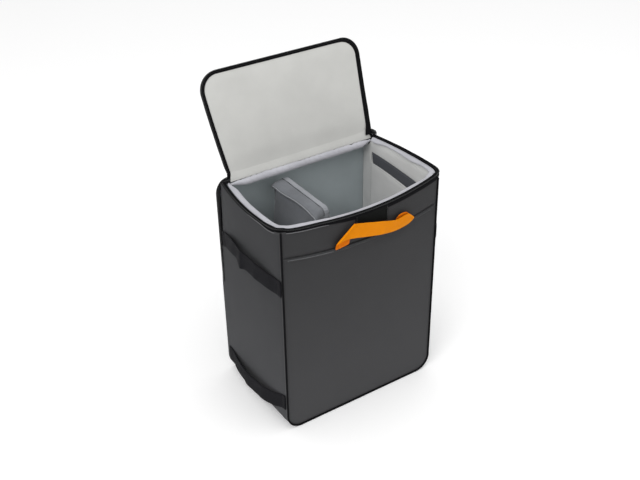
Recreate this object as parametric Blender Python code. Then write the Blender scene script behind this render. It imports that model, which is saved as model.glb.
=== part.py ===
"""Padded camera bag insert: a soft-sided upright box with a zipped padded lid,
a zipped rear door, a shelf and movable dividers inside, webbing straps on its
sides and a webbing handle on its front.

Frame: metres, +Z up.  The origin is the centre of the base.  The front panel
faces -Y, the lid hinges at the rear and stands open, as it rests here.
Sizes below are in millimetres and are turned into metres when a mesh is made.
"""
import math

import bmesh
import bpy

# ---------------------------------------------------------------- sizes (mm)
WIDTH = 300.0            # box, left to right
DEPTH = 202.0            # box, front to rear
HEIGHT = 397.0           # base to rim
BASE_R = 28.0            # round of the two bottom edges
RIM_R = 28.0             # round of the rim's front corners, seen from above
SKIN = 1.4               # outer fabric
FOAM = 7.0               # foam board in the walls
LINING = 1.2             # brushed loop lining
GAP = 0.3                # between touching solids
FRONT_BULGE = 16.0       # how far the front rim bows out
SIDE_BULGE = 5.0         # how far the left rim bows out
RIGHT_BULGE = 12.0       # the right rim bows out more, but only close to the rim
FRONT_SAG = 10.0         # how far the rim dips at the middle of the front
SIDE_SAG = 10.0          # and at the middle of a side
WALL_TOP = 394.5         # top of the outer fabric at the rim's corners
FOAM_TOP = 384.9         # top of foam and lining, below the collar
SEAM_Z = 340.0           # seam across the front panel
HINGE_Y = 76.3           # lid hinge line
LID_OPEN = 107.8         # lid angle from closed
LID_LEN = 173.2          # hinge line to the lid's free edge
LID_R = 32.0             # lid corners
DOOR_FRONT = 92.0        # front face of the rear door
DOOR_BACK = 101.0        # rear face of the rear door
SHELF_Z = 236.0          # underside of the shelf
DIVIDER_TOP = 372.0      # top of the divider beside the camera bay
STRAP_W = 30.0           # side straps, webbing width
STRAP_T = 1.6            # webbing thickness
HANDLE_W = 25.0          # front handle, webbing width

HW, HD = WIDTH / 2, DEPTH / 2
MM = 0.001

for old in list(bpy.data.objects):
    bpy.data.objects.remove(old, do_unlink=True)


# ------------------------------------------------------------------ helpers
def material(name, colour, rough, metal=0.0):
    m = bpy.data.materials.new(name)
    m.use_nodes = True
    b = m.node_tree.nodes["Principled BSDF"]
    b.inputs["Base Color"].default_value = (*colour, 1.0)
    b.inputs["Roughness"].default_value = rough
    b.inputs["Metallic"].default_value = metal
    return m


M_OUTER = material("outer_fabric", (0.055, 0.055, 0.058), 0.8)
M_SIDE = material("side_fabric", (0.066, 0.066, 0.07), 0.8)
M_BLACK = material("black_binding", (0.008, 0.008, 0.009), 0.6)
M_FOAM = material("foam_board", (0.11, 0.11, 0.12), 0.95)
M_LINING = material("loop_lining", (0.50, 0.50, 0.48), 0.95)
M_COLLAR = material("collar_fabric", (0.42, 0.42, 0.46), 0.9)
M_WEB = material("black_webbing", (0.016, 0.016, 0.019), 0.75)
M_ORANGE = material("orange_webbing", (0.87, 0.28, 0.01), 0.6)
M_DIVIDER = material("divider_fabric", (0.13, 0.14, 0.155), 0.95)
M_HOOK = material("hook_tape", (0.058, 0.06, 0.07), 0.9)
M_METAL = material("black_metal", (0.02, 0.02, 0.02), 0.35, 0.8)


def add_object(name, bm, mat, parent=None):
    """Finish a bmesh drawn in millimetres in world axes."""
    bmesh.ops.recalc_face_normals(bm, faces=bm.faces)
    bmesh.ops.scale(bm, vec=(MM, MM, MM), verts=bm.verts)
    if parent is not None:
        bmesh.ops.transform(bm, matrix=parent.matrix_basis.inverted(), verts=bm.verts)
    me = bpy.data.meshes.new(name)
    bm.to_mesh(me)
    bm.free()
    me.shade_smooth()
    me.set_sharp_from_angle(angle=math.radians(35))
    me.materials.append(mat)
    ob = bpy.data.objects.new(name, me)
    bpy.context.collection.objects.link(ob)
    if parent is not None:
        ob.parent = parent
    return ob


def empty(name, x, y, z):
    e = bpy.data.objects.new(name, None)
    bpy.context.collection.objects.link(e)
    e.location = (x * MM, y * MM, z * MM)
    e.empty_display_size = 0.02
    bpy.context.view_layer.update()
    return e


def sheet_solid(name, outer, inner, mat, parent=None):
    """Closed solid between two grids of points with the same rows and columns."""
    bm = bmesh.new()
    a = [[bm.verts.new(p) for p in row] for row in outer]
    b = [[bm.verts.new(p) for p in row] for row in inner]
    nr, nc = len(a), len(a[0])
    for i in range(nr - 1):
        for j in range(nc - 1):
            bm.faces.new((a[i][j], a[i][j + 1], a[i + 1][j + 1], a[i + 1][j]))
            bm.faces.new((b[i][j], b[i + 1][j], b[i + 1][j + 1], b[i][j + 1]))
    for i in range(nr - 1):
        bm.faces.new((a[i][0], a[i + 1][0], b[i + 1][0], b[i][0]))
        bm.faces.new((a[i][-1], b[i][-1], b[i + 1][-1], a[i + 1][-1]))
    for j in range(nc - 1):
        bm.faces.new((a[0][j], b[0][j], b[0][j + 1], a[0][j + 1]))
        bm.faces.new((a[-1][j], a[-1][j + 1], b[-1][j + 1], b[-1][j]))
    return add_object(name, bm, mat, parent)


def loft(name, rings, mat, parent=None, closed=False):
    """Join a list of point rings; the ends are capped, or joined if closed."""
    bm = bmesh.new()
    vs = [[bm.verts.new(p) for p in ring] for ring in rings]
    n = len(vs[0])
    pairs = list(zip(vs, vs[1:]))
    if closed:
        pairs.append((vs[-1], vs[0]))
    for r0, r1 in pairs:
        for k in range(n):
            bm.faces.new((r0[k], r0[(k + 1) % n], r1[(k + 1) % n], r1[k]))
    if not closed:
        bm.faces.new(vs[0])
        bm.faces.new(list(reversed(vs[-1])))
    return add_object(name, bm, mat, parent)


def block(name, lo, hi, mat, bevel=0.0, parent=None):
    bm = bmesh.new()
    bmesh.ops.create_cube(bm, size=1.0)
    size = [h - l for l, h in zip(lo, hi)]
    bmesh.ops.scale(bm, vec=size, verts=bm.verts)
    bmesh.ops.translate(bm, vec=[(l + h) / 2 for l, h in zip(lo, hi)], verts=bm.verts)
    if bevel:
        bmesh.ops.bevel(bm, geom=list(bm.edges), offset=bevel, segments=1,
                        affect="EDGES", profile=0.5)
    return add_object(name, bm, mat, parent)


def span(lo, hi, n):
    return [lo + (hi - lo) * i / n for i in range(n + 1)]


# ------------------------------------------------------- how the walls bow
def front_bow(x, z):
    return FRONT_BULGE * max(0.0, 1 - (x / HW) ** 2) * z / HEIGHT


def side_p(y):
    return max(0.0, 1 - ((y + 12.35) / 88.65) ** 2)


def right_p(y):
    """Bow of the right rim along the depth, fullest near the front."""
    t = (y + 60.0) / (130.0 if y > -60.0 else 41.0)
    return max(0.0, 1 - abs(t) ** (2 if y > -60.0 else 4))


def side_bow(sign, y, z):
    if sign < 0:
        return SIDE_BULGE * side_p(y) * z / HEIGHT
    return RIGHT_BULGE * right_p(y) * (max(0.0, z) / HEIGHT) ** 3


def front_sag(x):
    return FRONT_SAG * max(0.0, 1 - (x / HW) ** 2)


def side_sag(sign, y):
    """The left rim sags in the middle, the right one doesn't."""
    return SIDE_SAG * side_p(y) if sign < 0 else 0.0


def top_slope(y):
    """Height of the top behind the hinge line, falling towards the rear."""
    return 397.2 - (y - HINGE_Y) * 0.344


def top_round(y):
    """Round of the top's side edges, growing towards the rear."""
    return 2.4 + (y - HINGE_Y) * 0.972


# ------------------------------------------------------------ front panels
def front_rows(inset, z_hi, n):
    """(z, half width) rows up a front layer that is inset from the outline."""
    r = BASE_R - inset
    rows = []
    for k in range(6):
        a = math.radians(18 * k)
        rows.append((BASE_R - r * math.cos(a), HW - BASE_R + r * math.sin(a)))
    rows += [(z, HW - inset) for z in span(BASE_R, z_hi, n)[1:]]
    return rows


def front_grid(rows, y, cols, top_drop=False):
    """Front layer grid; with top_drop the last rows follow the sagging rim."""
    grid = []
    z_hi = rows[-1][0]
    for z, half in rows:
        line = []
        for s in cols:
            x = s * half
            share = max(0.0, (z - SEAM_Z) / (z_hi - SEAM_Z)) if top_drop else 0.0
            zz = z - share * front_sag(x)
            line.append((x, y - front_bow(x, zz), zz))
        grid.append(line)
    return grid


COLS = span(-1.0, 1.0, 10)

rows = front_rows(0.0, SEAM_Z, 5)
sheet_solid("front_panel_lower", front_grid(rows, -HD, COLS),
            front_grid(rows, -HD + SKIN, COLS), M_OUTER)

rows = [(SEAM_Z + GAP, HW), (366.0, HW), (WALL_TOP, HW)]
sheet_solid("front_panel_upper", front_grid(rows, -HD + 0.4, COLS, True),
            front_grid(rows, -HD + SKIN, COLS, True), M_OUTER)

y0 = -HD + SKIN + GAP
rows = front_rows(SKIN + GAP, SEAM_Z, 5) + [(FOAM_TOP, HW - SKIN - GAP)]
sheet_solid("front_foam", front_grid(rows, y0, COLS, True),
            front_grid(rows, y0 + FOAM, COLS, True), M_FOAM)

y1 = y0 + FOAM + GAP
inset = SKIN + FOAM + 2 * GAP
rows = front_rows(inset, SEAM_Z, 5) + [(FOAM_TOP, HW - inset)]
sheet_solid("front_lining", front_grid(rows, y1, COLS, True),
            front_grid(rows, y1 + LINING, COLS, True), M_LINING)

# ------------------------------------------------------------- side panels
Y_SIDE0 = -HD + SKIN + GAP            # front end of the side fabric
Y_SIDE1 = DOOR_FRONT - GAP            # rear end, at the door


def side_grid(sign, off, ys, z_of, zs):
    """Side layer; z_of(sign, y) is its top, zs are shares of its height."""
    grid = []
    for t in zs:
        line = []
        for y in ys:
            z = BASE_R + t * (z_of(sign, y) - BASE_R)
            line.append((sign * (HW - off + side_bow(sign, y, z)), y, z))
        grid.append(line)
    return grid


def skin_top(sign, y):
    if y <= HINGE_Y:
        return WALL_TOP - side_sag(sign, y)
    return top_slope(y) - top_round(y) - GAP


def foam_top(sign, y):
    if y <= HINGE_Y:
        return FOAM_TOP - max(side_sag(sign, y), 3.6)
    return min(FOAM_TOP - 3.6, top_slope(y) - top_round(y) - GAP)


SHARES = [0.0, 0.3, 0.6, 0.85, 1.0]
FLARE = [-95.0, -90.0, -84.0, -77.0, -68.0, -58.0, -40.0, -20.0, 0.0, 20.0, 40.0, 60.0, HINGE_Y]


def side_stations(sign, start, n):
    """Stations along the depth, closer together where the right wall flares."""
    if sign < 0:
        return span(start, HINGE_Y, n)
    return [start] + [y for y in FLARE if y > start + 1.5]


for side, sign in (("left", -1.0), ("right", 1.0)):
    ys = side_stations(sign, Y_SIDE0, 8) + [84.0, 89.0, Y_SIDE1]
    sheet_solid(side + "_panel", side_grid(sign, 0.0, ys, skin_top, SHARES),
                side_grid(sign, SKIN, ys, skin_top, SHARES), M_SIDE)
    ys = side_stations(sign, y0 + FOAM + GAP, 7) + [Y_SIDE1]
    o = SKIN + GAP
    sheet_solid(side + "_foam", side_grid(sign, o, ys, foam_top, SHARES),
                side_grid(sign, o + FOAM, ys, foam_top, SHARES), M_FOAM)
    ys = side_stations(sign, y1 + LINING + GAP, 7) + [Y_SIDE1]
    o += FOAM + GAP
    sheet_solid(side + "_lining", side_grid(sign, o, ys, foam_top, SHARES),
                side_grid(sign, o + LINING, ys, foam_top, SHARES), M_LINING)


# ------------------------------------------------------------ bottom trays
def tray(name, off, thick, ya, yb, mat):
    """U-shaped floor layer whose ends turn up round the bottom edges."""
    def arc(r):
        pts = []
        for k in range(6):
            a = math.radians(90 - 18 * k)
            pts.append((-(HW - BASE_R + r * math.sin(a)), BASE_R - r * math.cos(a)))
        return pts + [(-x, z) for x, z in reversed(pts)]
    outer, inner = arc(BASE_R - off), arc(BASE_R - off - thick)
    top = BASE_R - GAP
    outer[0] = (outer[0][0], top)
    outer[-1] = (outer[-1][0], top)
    inner[0] = (inner[0][0], top)
    inner[-1] = (inner[-1][0], top)
    return sheet_solid(name, [[(x, y, z) for x, z in outer] for y in (ya, yb)],
                       [[(x, y, z) for x, z in inner] for y in (ya, yb)], mat)


tray("bottom_panel", 0.0, SKIN, Y_SIDE0, Y_SIDE1, M_SIDE)
tray("bottom_foam", SKIN + GAP, FOAM, y0 + FOAM + GAP, Y_SIDE1, M_FOAM)
tray("bottom_lining", SKIN + FOAM + 2 * GAP, LINING, y1 + LINING + GAP, Y_SIDE1, M_LINING)


# --------------------------------------------------- top strip behind the lid
def top_outline(y, inset, floor=None):
    """Outline of the top at one depth, from the left side over to the right."""
    r = max(0.6, top_round(y) - inset)
    cz = top_slope(y) - top_round(y)
    cx = HW - top_round(y)
    pts = []
    for k in range(5):
        a = math.radians(90 - 22.5 * k)
        pts.append((-(cx + r * math.sin(a)), cz + r * math.cos(a)))
    pts += [(-60.0, cz + r), (0.0, cz + r), (60.0, cz + r)]
    pts += [(-x, z) for x, z in reversed(pts[:5])]
    return pts


ys = [HINGE_Y + GAP, 81.5, 86.5, Y_SIDE1]
sheet_solid("top_strip_panel", [[(x, y, z) for x, z in top_outline(y, 0.0)] for y in ys],
            [[(x, y, z) for x, z in top_outline(y, SKIN)] for y in ys], M_OUTER)
outer = [[(x, y, top_slope(y) - SKIN - GAP) for x in (-126.0, 0.0, 126.0)] for y in ys]
inner = [[(x, y, FOAM_TOP + 2.2) for x in (-126.0, 0.0, 126.0)] for y in ys]
sheet_solid("top_strip_foam", outer, inner, M_FOAM)
outer = [[(x, y, FOAM_TOP + 1.9) for x in (-126.0, 0.0, 126.0)] for y in ys]
inner = [[(x, y, FOAM_TOP + 0.7) for x in (-126.0, 0.0, 126.0)] for y in ys]
sheet_solid("top_strip_lining", outer, inner, M_LINING)

# black gussets beside the upper rear zip, widening towards the top
BAND = [(262.0, 91.3), (282.0, 88.0), (322.0, 85.0), (351.0, 83.0), (372.0, 81.4)]
for side, sign in (("left", -1.0), ("right", 1.0)):
    grids = []
    for x in (HW + 1.5, HW + 0.4):
        grids.append([[(sign * x, y, z) for y in (yb, Y_SIDE1)] for z, yb in BAND])
    sheet_solid("rear_gusset_" + side, grids[0], grids[1], M_BLACK)


# --------------------------------------------------------- rim tape, collar
def rim_path(rear, right_r):
    """Plan of the rim as (x, y, normal x, normal y), left rear to right rear."""
    ys = [HINGE_Y - 0.5, HINGE_Y - 15.0] + span(HINGE_Y - 15.0, -HD + RIM_R, 5)[1:]
    pts = [(-HW, y, -1.0, 0.0) for y in ys if y <= rear]
    cx, cy = HW - RIM_R, -HD + RIM_R
    for k in range(1, 5):
        a = math.radians(22.5 * k)
        nx, ny = -math.cos(a), -math.sin(a)
        pts.append((-cx + RIM_R * nx, cy + RIM_R * ny, nx, ny))
    pts += [(x, -HD, 0.0, -1.0) for x in span(-cx, 0.0, 4)[1:]]
    cx, cy = HW - right_r, -HD + right_r
    pts += [(x, -HD, 0.0, -1.0) for x in (30.5, 61.0, 91.5, 115.0, 130.0) if x < cx - 4]
    for k in range(5):
        a = math.radians(90.0 - 22.5 * k)
        nx, ny = math.cos(a), -math.sin(a)
        pts.append((cx + right_r * nx, cy + right_r * ny, nx, ny))
    ys = [y for y in FLARE[:-1] if y > cy + 3.0] + [HINGE_Y - 15.0, HINGE_Y - 0.5]
    return pts + [(HW, y, 1.0, 0.0) for y in ys if y <= rear and y != 60.0]


def rim_section(p, offs):
    """Section of a piece that runs along the rim, as (depth in, height)."""
    x, y, nx, ny = p
    wf = min(1.0, max(0.0, (-y - HD + RIM_R) / RIM_R))
    ws = min(1.0, max(0.0, (abs(x) - HW + RIM_R) / RIM_R))
    side = math.copysign(1.0, x)
    drop = max(front_sag(x) * wf, side_sag(side, y) * ws)
    out = []
    for d, z in offs:
        dx = side * side_bow(side, y, z - drop) * ws
        dy = -front_bow(x, z - drop) * wf
        out.append((x + dx - nx * d, y + dy - ny * d, z - drop))
    return out


tape = [(0.2, 394.8), (0.2, 396.4), (1.2, 397.3), (6.0, 397.3), (7.0, 396.4), (7.0, 394.8)]
loft("rim_zip_tape", [rim_section(p, tape) for p in rim_path(HINGE_Y - 0.5, 8.0)], M_BLACK)

roll = [(1.7, 387.5), (1.7, 394.5), (17.0, 394.0), (20.0, 392.4), (20.0, 389.0), (18.5, 387.5)]
rings = [rim_section(p, roll) for p in rim_path(HINGE_Y - 15.0, RIM_R)]
roll = [(1.7, 386.0), (1.7, 394.5), (11.5, 394.5), (14.0, 392.0), (14.0, 387.0), (13.0, 386.0)]
rear_y = HINGE_Y - 0.6


def rear_drop(x):
    """The run under the hinge follows the left rim's sag at its left end."""
    return side_sag(-1.0, HINGE_Y - 15.0) * (HW - x) / (2 * HW)


def rear_section(x):
    """Collar section on the run under the lid hinge."""
    return [(x, rear_y - (d - 1.7), z - rear_drop(x)) for d, z in roll]


def corner_section(sign):
    return [(sign * (HW - d), rear_y - (d - 1.7), z - rear_drop(sign * HW)) for d, z in roll]


back = [rear_section(x) for x in (90.0, 45.0, 0.0, -45.0, -90.0)]
rings = rings + [corner_section(1.0)] + back + [corner_section(-1.0)]
loft("rim_collar", rings, M_COLLAR, closed=True)


# ------------------------------------------------------------- front piping
def piping(name):
    y = -HD - 2.0
    pts = []
    ins = 1.6
    r = BASE_R - ins
    for z in (390.0, 300.0, 200.0, 110.0, BASE_R):
        pts.append((-(HW - ins), y, z))
    for k in range(1, 6):
        a = math.radians(18 * k)
        pts.append((-(HW - BASE_R + r * math.cos(a)), y, BASE_R - r * math.sin(a)))
    pts.append((0.0, y, ins))
    pts += [(-x, yy, z) for x, yy, z in reversed(pts[:-1])]
    cu = bpy.data.curves.new(name, "CURVE")
    cu.dimensions = "3D"
    sp = cu.splines.new("POLY")
    sp.points.add(len(pts) - 1)
    for q, p in zip(sp.points, pts):
        q.co = (p[0] * MM, p[1] * MM, p[2] * MM, 1.0)
    cu.bevel_depth = 1.2 * MM
    cu.bevel_resolution = 1
    cu.use_fill_caps = True
    cu.materials.append(M_BLACK)
    ob = bpy.data.objects.new(name, cu)
    bpy.context.collection.objects.link(ob)
    return ob


piping("front_piping")

# -------------------------------------------------------------- label patch
LX = span(-24.0, 38.0, 4)


def label_rows(x):
    """Heights of the label at x: its top follows the sagging rim."""
    return (356.0, 370.0, WALL_TOP - 0.6 - front_sag(x))


sheet_solid("label_patch",
            [[(x, -HD - 0.9 - front_bow(x, label_rows(x)[i]), label_rows(x)[i]) for x in LX]
             for i in range(3)],
            [[(x, -HD + 0.0 - front_bow(x, label_rows(x)[i]), label_rows(x)[i]) for x in LX]
             for i in range(3)], M_BLACK)


# --------------------------------------------------------------- side straps
def strap(name, sign, stations, stand):
    """Webbing sewn at both ends; stations are (y, height of its middle)."""
    rings = []
    n = len(stations) - 1
    for i, (y, zc) in enumerate(stations):
        t = i / n
        lift = 0.5 + stand * math.sin(math.pi * t) ** 0.7 if 0 < t < 1 else 0.5
        zl, zh = zc - STRAP_W / 2, zc + STRAP_W / 2
        x = HW + side_bow(sign, y, zh) + lift
        rings.append([(sign * x, y, zl), (sign * x, y, zh),
                      (sign * (x + STRAP_T), y, zh), (sign * (x + STRAP_T), y, zl)])
    return loft(name, rings, M_WEB)


UPPER = [(-98.0, 298.0), (-88.0, 297.0), (-65.0, 295.0), (-35.0, 293.0), (-5.0, 291.0),
         (25.0, 289.0), (55.0, 286.0), (76.0, 284.0), (84.0, 283.0)]
LOWER = [(-98.0, 60.0), (-88.0, 57.0), (-65.0, 49.0), (-35.0, 42.0), (-5.0, 38.0),
         (25.0, 36.0), (55.0, 35.5), (76.0, 35.5), (91.0, 35.5)]
for side, sign in (("left", -1.0), ("right", 1.0)):
    strap(side + "_upper_strap", sign, UPPER, 5.8)
    strap(side + "_lower_strap", sign, LOWER, 8.0)

# -------------------------------------------------------------- front handle
# The webbing leaves the seam at both ends, is folded over at 45 degrees and
# stands off the front.  Stations are (x, lift off the panel, low and high edge).
HANDLE_AXIS_Z = 338.0
HANDLE_AXIS_Y = -HD - 17.5
handle_pivot = empty("handle_pivot", 0.0, HANDLE_AXIS_Y, HANDLE_AXIS_Z)
HANDLE = [(-62.0, 5.4, 339.5, 350.0), (-52.0, 7.5, 341.0, 359.0), (-42.0, 8.5, 350.0, 368.0),
          (-31.0, 9.5, 355.0, 378.0), (-12.0, 11.0, 351.5, 375.0), (8.0, 12.0, 347.0, 371.0),
          (28.0, 11.0, 341.5, 364.5), (46.0, 9.0, 339.0, 358.0), (60.0, 8.0, 338.5, 361.0),
          (72.0, 7.2, 338.5, 361.5), (84.0, 6.0, 339.5, 352.0), (93.0, 5.4, 340.0, 346.5)]
rings = []
for x, lift, zl, zh in HANDLE:
    y = -HD - front_bow(x, zh) - lift
    rings.append([(x, y, zl), (x, y, zh), (x, y - STRAP_T, zh), (x, y - STRAP_T, zl)])
loft("front_handle", rings, M_ORANGE, parent=handle_pivot)
for side, x in (("left", -50.0), ("right", 83.0)):
    half = 11.0
    xs = (x - half, x, x + half)
    zs = (334.0, 339.6)
    sheet_solid("handle_tack_" + side,
                [[(xx, -HD - 2.8 - front_bow(xx, z), z) for xx in xs] for z in zs],
                [[(xx, -HD - 0.4 - front_bow(xx, z), z) for xx in xs] for z in zs], M_ORANGE)

# ----------------------------------------------------------------- rear door
door_pivot = empty("rear_door_pivot", HW + 2.0, DOOR_FRONT - 0.15, HEIGHT / 2)


def door_outline(y, inset):
    """Round-cornered outline of the rear door at one depth."""
    r = top_round(y) - inset
    cz = top_slope(y) - top_round(y)
    cx = HW - top_round(y)
    pts = []
    for k in range(6):
        a = math.radians(90 - 18 * k)
        pts.append((-(cx + r * math.sin(a)), cz + r * math.cos(a)))
    pts += [(-x, z) for x, z in reversed(pts)]
    rb = BASE_R - inset
    low = []
    for k in range(6):
        a = math.radians(90 - 18 * k)
        low.append((HW - BASE_R + rb * math.sin(a), BASE_R - rb * math.cos(a)))
    return pts + low + [(-x, z) for x, z in reversed(low)]


def door_layer(name, ya, yb, inset, mat):
    rings = [[(x, y, z) for x, z in door_outline(y, inset)] for y in (ya, yb)]
    return loft(name, rings, mat, parent=door_pivot)


door_layer("rear_door_lining", DOOR_FRONT, 93.1, 4.0, M_LINING)
door_layer("rear_door_foam", 93.4, 99.3, 4.0, M_FOAM)
door_layer("rear_door_panel", 99.6, DOOR_BACK, 4.0, M_OUTER)
oa, ob_ = door_outline(DOOR_FRONT, 0.5), door_outline(DOOR_BACK, 0.5)
ia, ib = door_outline(DOOR_FRONT, 3.7), door_outline(DOOR_BACK, 3.7)
rings = [[(p[0], DOOR_FRONT, p[1]), (q[0], DOOR_BACK, q[1]),
          (s[0], DOOR_BACK, s[1]), (r[0], DOOR_FRONT, r[1])]
         for p, q, r, s in zip(oa, ob_, ia, ib)]
loft("rear_door_binding", rings, M_BLACK, parent=door_pivot, closed=True)

# rear zip slider and its pull, parked at the hinge end of the top run
SLIDER_X = 110.0
block("rear_zip_slider", (SLIDER_X - 6, 92.6, 392.3), (SLIDER_X + 6, 100.6, 397.0), M_METAL, 1.0,
      parent=door_pivot)
rear_pull_pivot = empty("rear_pull_pivot", SLIDER_X, 102.6, 395.0)
block("rear_zip_pull", (SLIDER_X - 4, 101.6, 368.0), (SLIDER_X + 4, 103.6, 396.6), M_METAL, 0.7,
      parent=rear_pull_pivot)

# ---------------------------------------------------------------------- lid
lid_pivot = empty("lid_pivot", 0.0, HINGE_Y, HEIGHT)


def lid_outline(inset, s0, corner=True):
    """Outline in (x, distance from the hinge line), counter-clockwise from the
    hinge end of the left edge, up over the free edge, to the right edge."""
    def left(s):
        return -(HW - 15.5 * max(0.0, 1 - s / 150.0) ** 1.3) + inset

    def right(s):
        return 149.3 - 4.2 * max(0.0, 1 - s / 150.0) ** 1.2 - inset
    top, r = LID_LEN - inset, LID_R - inset
    c = LID_LEN - LID_R
    pts = [(left(s), s) for s in span(s0, c, 5)]
    for k in range(1, 6):
        a = math.radians(18 * k)
        pts.append((left(c) + r * (1 - math.cos(a)), c + r * math.sin(a)))
    pts.append((0.0, top))
    for k in range(0, 5):
        a = math.radians(90 - 18 * k)
        pts.append((right(c) - r * (1 - math.cos(a)), c + r * math.sin(a)))
    pts += [(right(s), s) for s in reversed(span(s0, c, 5))]
    return pts


def lid_point(x, s, w):
    """Place a point of the lid: s from the hinge line, w up from its inner side
    when it is closed."""
    a = math.radians(LID_OPEN)
    return (x, HINGE_Y - s * math.cos(a) + w * math.sin(a),
            HEIGHT + s * math.sin(a) + w * math.cos(a))


S0 = 8.0


def lid_layer(name, inset, w0, w1, mat, s0=S0, taper=0.0):
    lo = [lid_point(x, s, w0) for x, s in lid_outline(inset, s0)]
    hi = []
    for x, s in lid_outline(inset, s0):
        cut = taper * max(0.0, 1 - (s - s0) / 12.0)
        hi.append(lid_point(x, s, w1 - cut))
    return loft(name, [lo, hi], mat, parent=lid_pivot)


def lid_frame(name, in0, in1, w0, w1, mat, s0=S0):
    rings = []
    for p, q in zip(lid_outline(in0, s0), lid_outline(in1, s0)):
        rings.append([lid_point(p[0], p[1], w0), lid_point(p[0], p[1], w1),
                      lid_point(q[0], q[1], w1), lid_point(q[0], q[1], w0)])
    return loft(name, rings, mat, parent=lid_pivot)


lid_frame("lid_binding", 0.0, 4.5, 1.2, 8.6, M_BLACK, s0=18.0)
lid_frame("lid_zip_tape", 4.8, 8.0, 0.9, 2.2, M_BLACK, s0=10.0)
lid_layer("lid_lining", 8.3, 1.2, 2.2, M_LINING, s0=10.0)
lid_layer("lid_foam", 4.8, 2.5, 7.0, M_FOAM, s0=18.0)
lid_layer("lid_panel", 4.8, 7.3, 8.7, M_OUTER, s0=20.0)
flap = [lid_point(x, s, w) for x, s, w in
        ((-134.0, 5.0, 2.5), (144.0, 5.0, 2.5), (144.0, 17.6, 3.1), (-134.0, 17.6, 3.1))]
flap2 = [lid_point(x, s, w) for x, s, w in
         ((-134.0, 5.0, 3.6), (144.0, 5.0, 3.6), (144.0, 17.6, 7.0), (-134.0, 17.6, 7.0))]
loft("lid_hinge_tape", [flap, flap2], M_BLACK, parent=lid_pivot)

# lid zip slider parked at the right end of the hinge, and its hanging pull
block("lid_zip_slider", (146.2, 72.0, 398.0), (155.4, 87.0, 404.0), M_METAL, 1.2)
lid_pull_pivot = empty("lid_pull_pivot", 156.9, 80.0, 399.0)
block("lid_zip_pull", (155.9, 76.5, 371.0), (157.9, 83.5, 399.9), M_METAL, 0.7,
      parent=lid_pull_pivot)

# --------------------------------------------------------- shelf and dividers
shelf_pivot = empty("shelf_pivot", 0.0, 0.0, SHELF_Z)
block("shelf_pad", (-138.6, -88.8, SHELF_Z), (138.6, 90.4, SHELF_Z + 9.0), M_DIVIDER, 1.5,
      parent=shelf_pivot)


def wall_tab(name, sign, za, zb, ya, yb, off, thick, mat, slopes=(0.0, 0.0)):
    """Thin tab that follows a side lining; za and zb hold at its rear end, and
    its lower and upper edge fall towards the front by the slopes."""
    ys = span(ya, yb, 6)
    grids = []
    for o in (off, off + thick):
        grid = []
        for t in (0.0, 0.5, 1.0):
            row = []
            for y in ys:
                lo, hi = za - (yb - y) * slopes[0], zb - (yb - y) * slopes[1]
                z = lo + (hi - lo) * t
                row.append((sign * (HW - o + side_bow(sign, y, z - 20.0)), y, z))
            grid.append(row)
        grids.append(grid)
    return sheet_solid(name, grids[0], grids[1], mat, parent=shelf_pivot)


OFF = SKIN + FOAM + LINING + 2 * GAP + 0.9
wall_tab("shelf_tab_left", -1.0, SHELF_Z + 9.3, SHELF_Z + 35.0, -60.0, 66.0, OFF, 1.6, M_DIVIDER)
wall_tab("shelf_upstand_right", 1.0, SHELF_Z + 9.3, 350.7, -52.0, 63.0, OFF, 2.2, M_DIVIDER, (0.0, 0.11))
wall_tab("shelf_hook_tab", 1.0, 351.0, 371.0, -52.0, 63.0, OFF, 1.6, M_HOOK, (0.11, 0.09))

divider_pivot = empty("divider_pivot", -49.0, 0.0, SHELF_Z)
Z0 = SHELF_Z + 9.4
block("divider_left_pad", (-64.5, -68.0, Z0), (-42.2, 76.0, DIVIDER_TOP), M_DIVIDER, 3.0,
      parent=divider_pivot)
block("divider_right_pad", (-41.8, -66.0, Z0), (-31.0, 76.0, DIVIDER_TOP), M_DIVIDER, 2.5,
      parent=divider_pivot)
block("divider_front_tab", (-47.0, -88.0, Z0 + 4), (-41.0, -70.4, DIVIDER_TOP - 8), M_DIVIDER, 1.0,
      parent=divider_pivot)
block("divider_rear_tab", (-47.0, 76.4, Z0 + 4), (-41.0, 90.0, DIVIDER_TOP - 8), M_HOOK, 1.0,
      parent=divider_pivot)

lower_pivot = empty("lower_divider_pivot", 20.0, 0.0, 10.0)
ZB = SKIN + FOAM + LINING + 2 * GAP + 0.4
block("lower_divider", (14.0, -76.0, ZB), (26.0, 78.0, 212.0), M_DIVIDER, 2.0, parent=lower_pivot)
block("lower_divider_front_tab", (17.0, -88.5, ZB + 6), (23.0, -76.4, 206.0), M_HOOK, 1.0,
      parent=lower_pivot)
block("lower_divider_rear_tab", (17.0, 78.4, ZB + 6), (23.0, 90.4, 206.0), M_HOOK, 1.0,
      parent=lower_pivot)
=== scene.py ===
"""Looks of the padded camera bag insert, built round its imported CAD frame.

Everything is drawn in millimetres in the frame's own axes and turned into
metres when a mesh is made: +Z up, the front panel faces -Y, the lid is hinged
at the rear and stands open.  The same few formulas that shape the CAD walls
are repeated here, so that every soft surface lies where its solid is.
"""
import math

import bmesh
import bpy
import numpy as np
from mathutils import Matrix, Vector, noise
from mathutils.bvhtree import BVHTree


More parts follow.
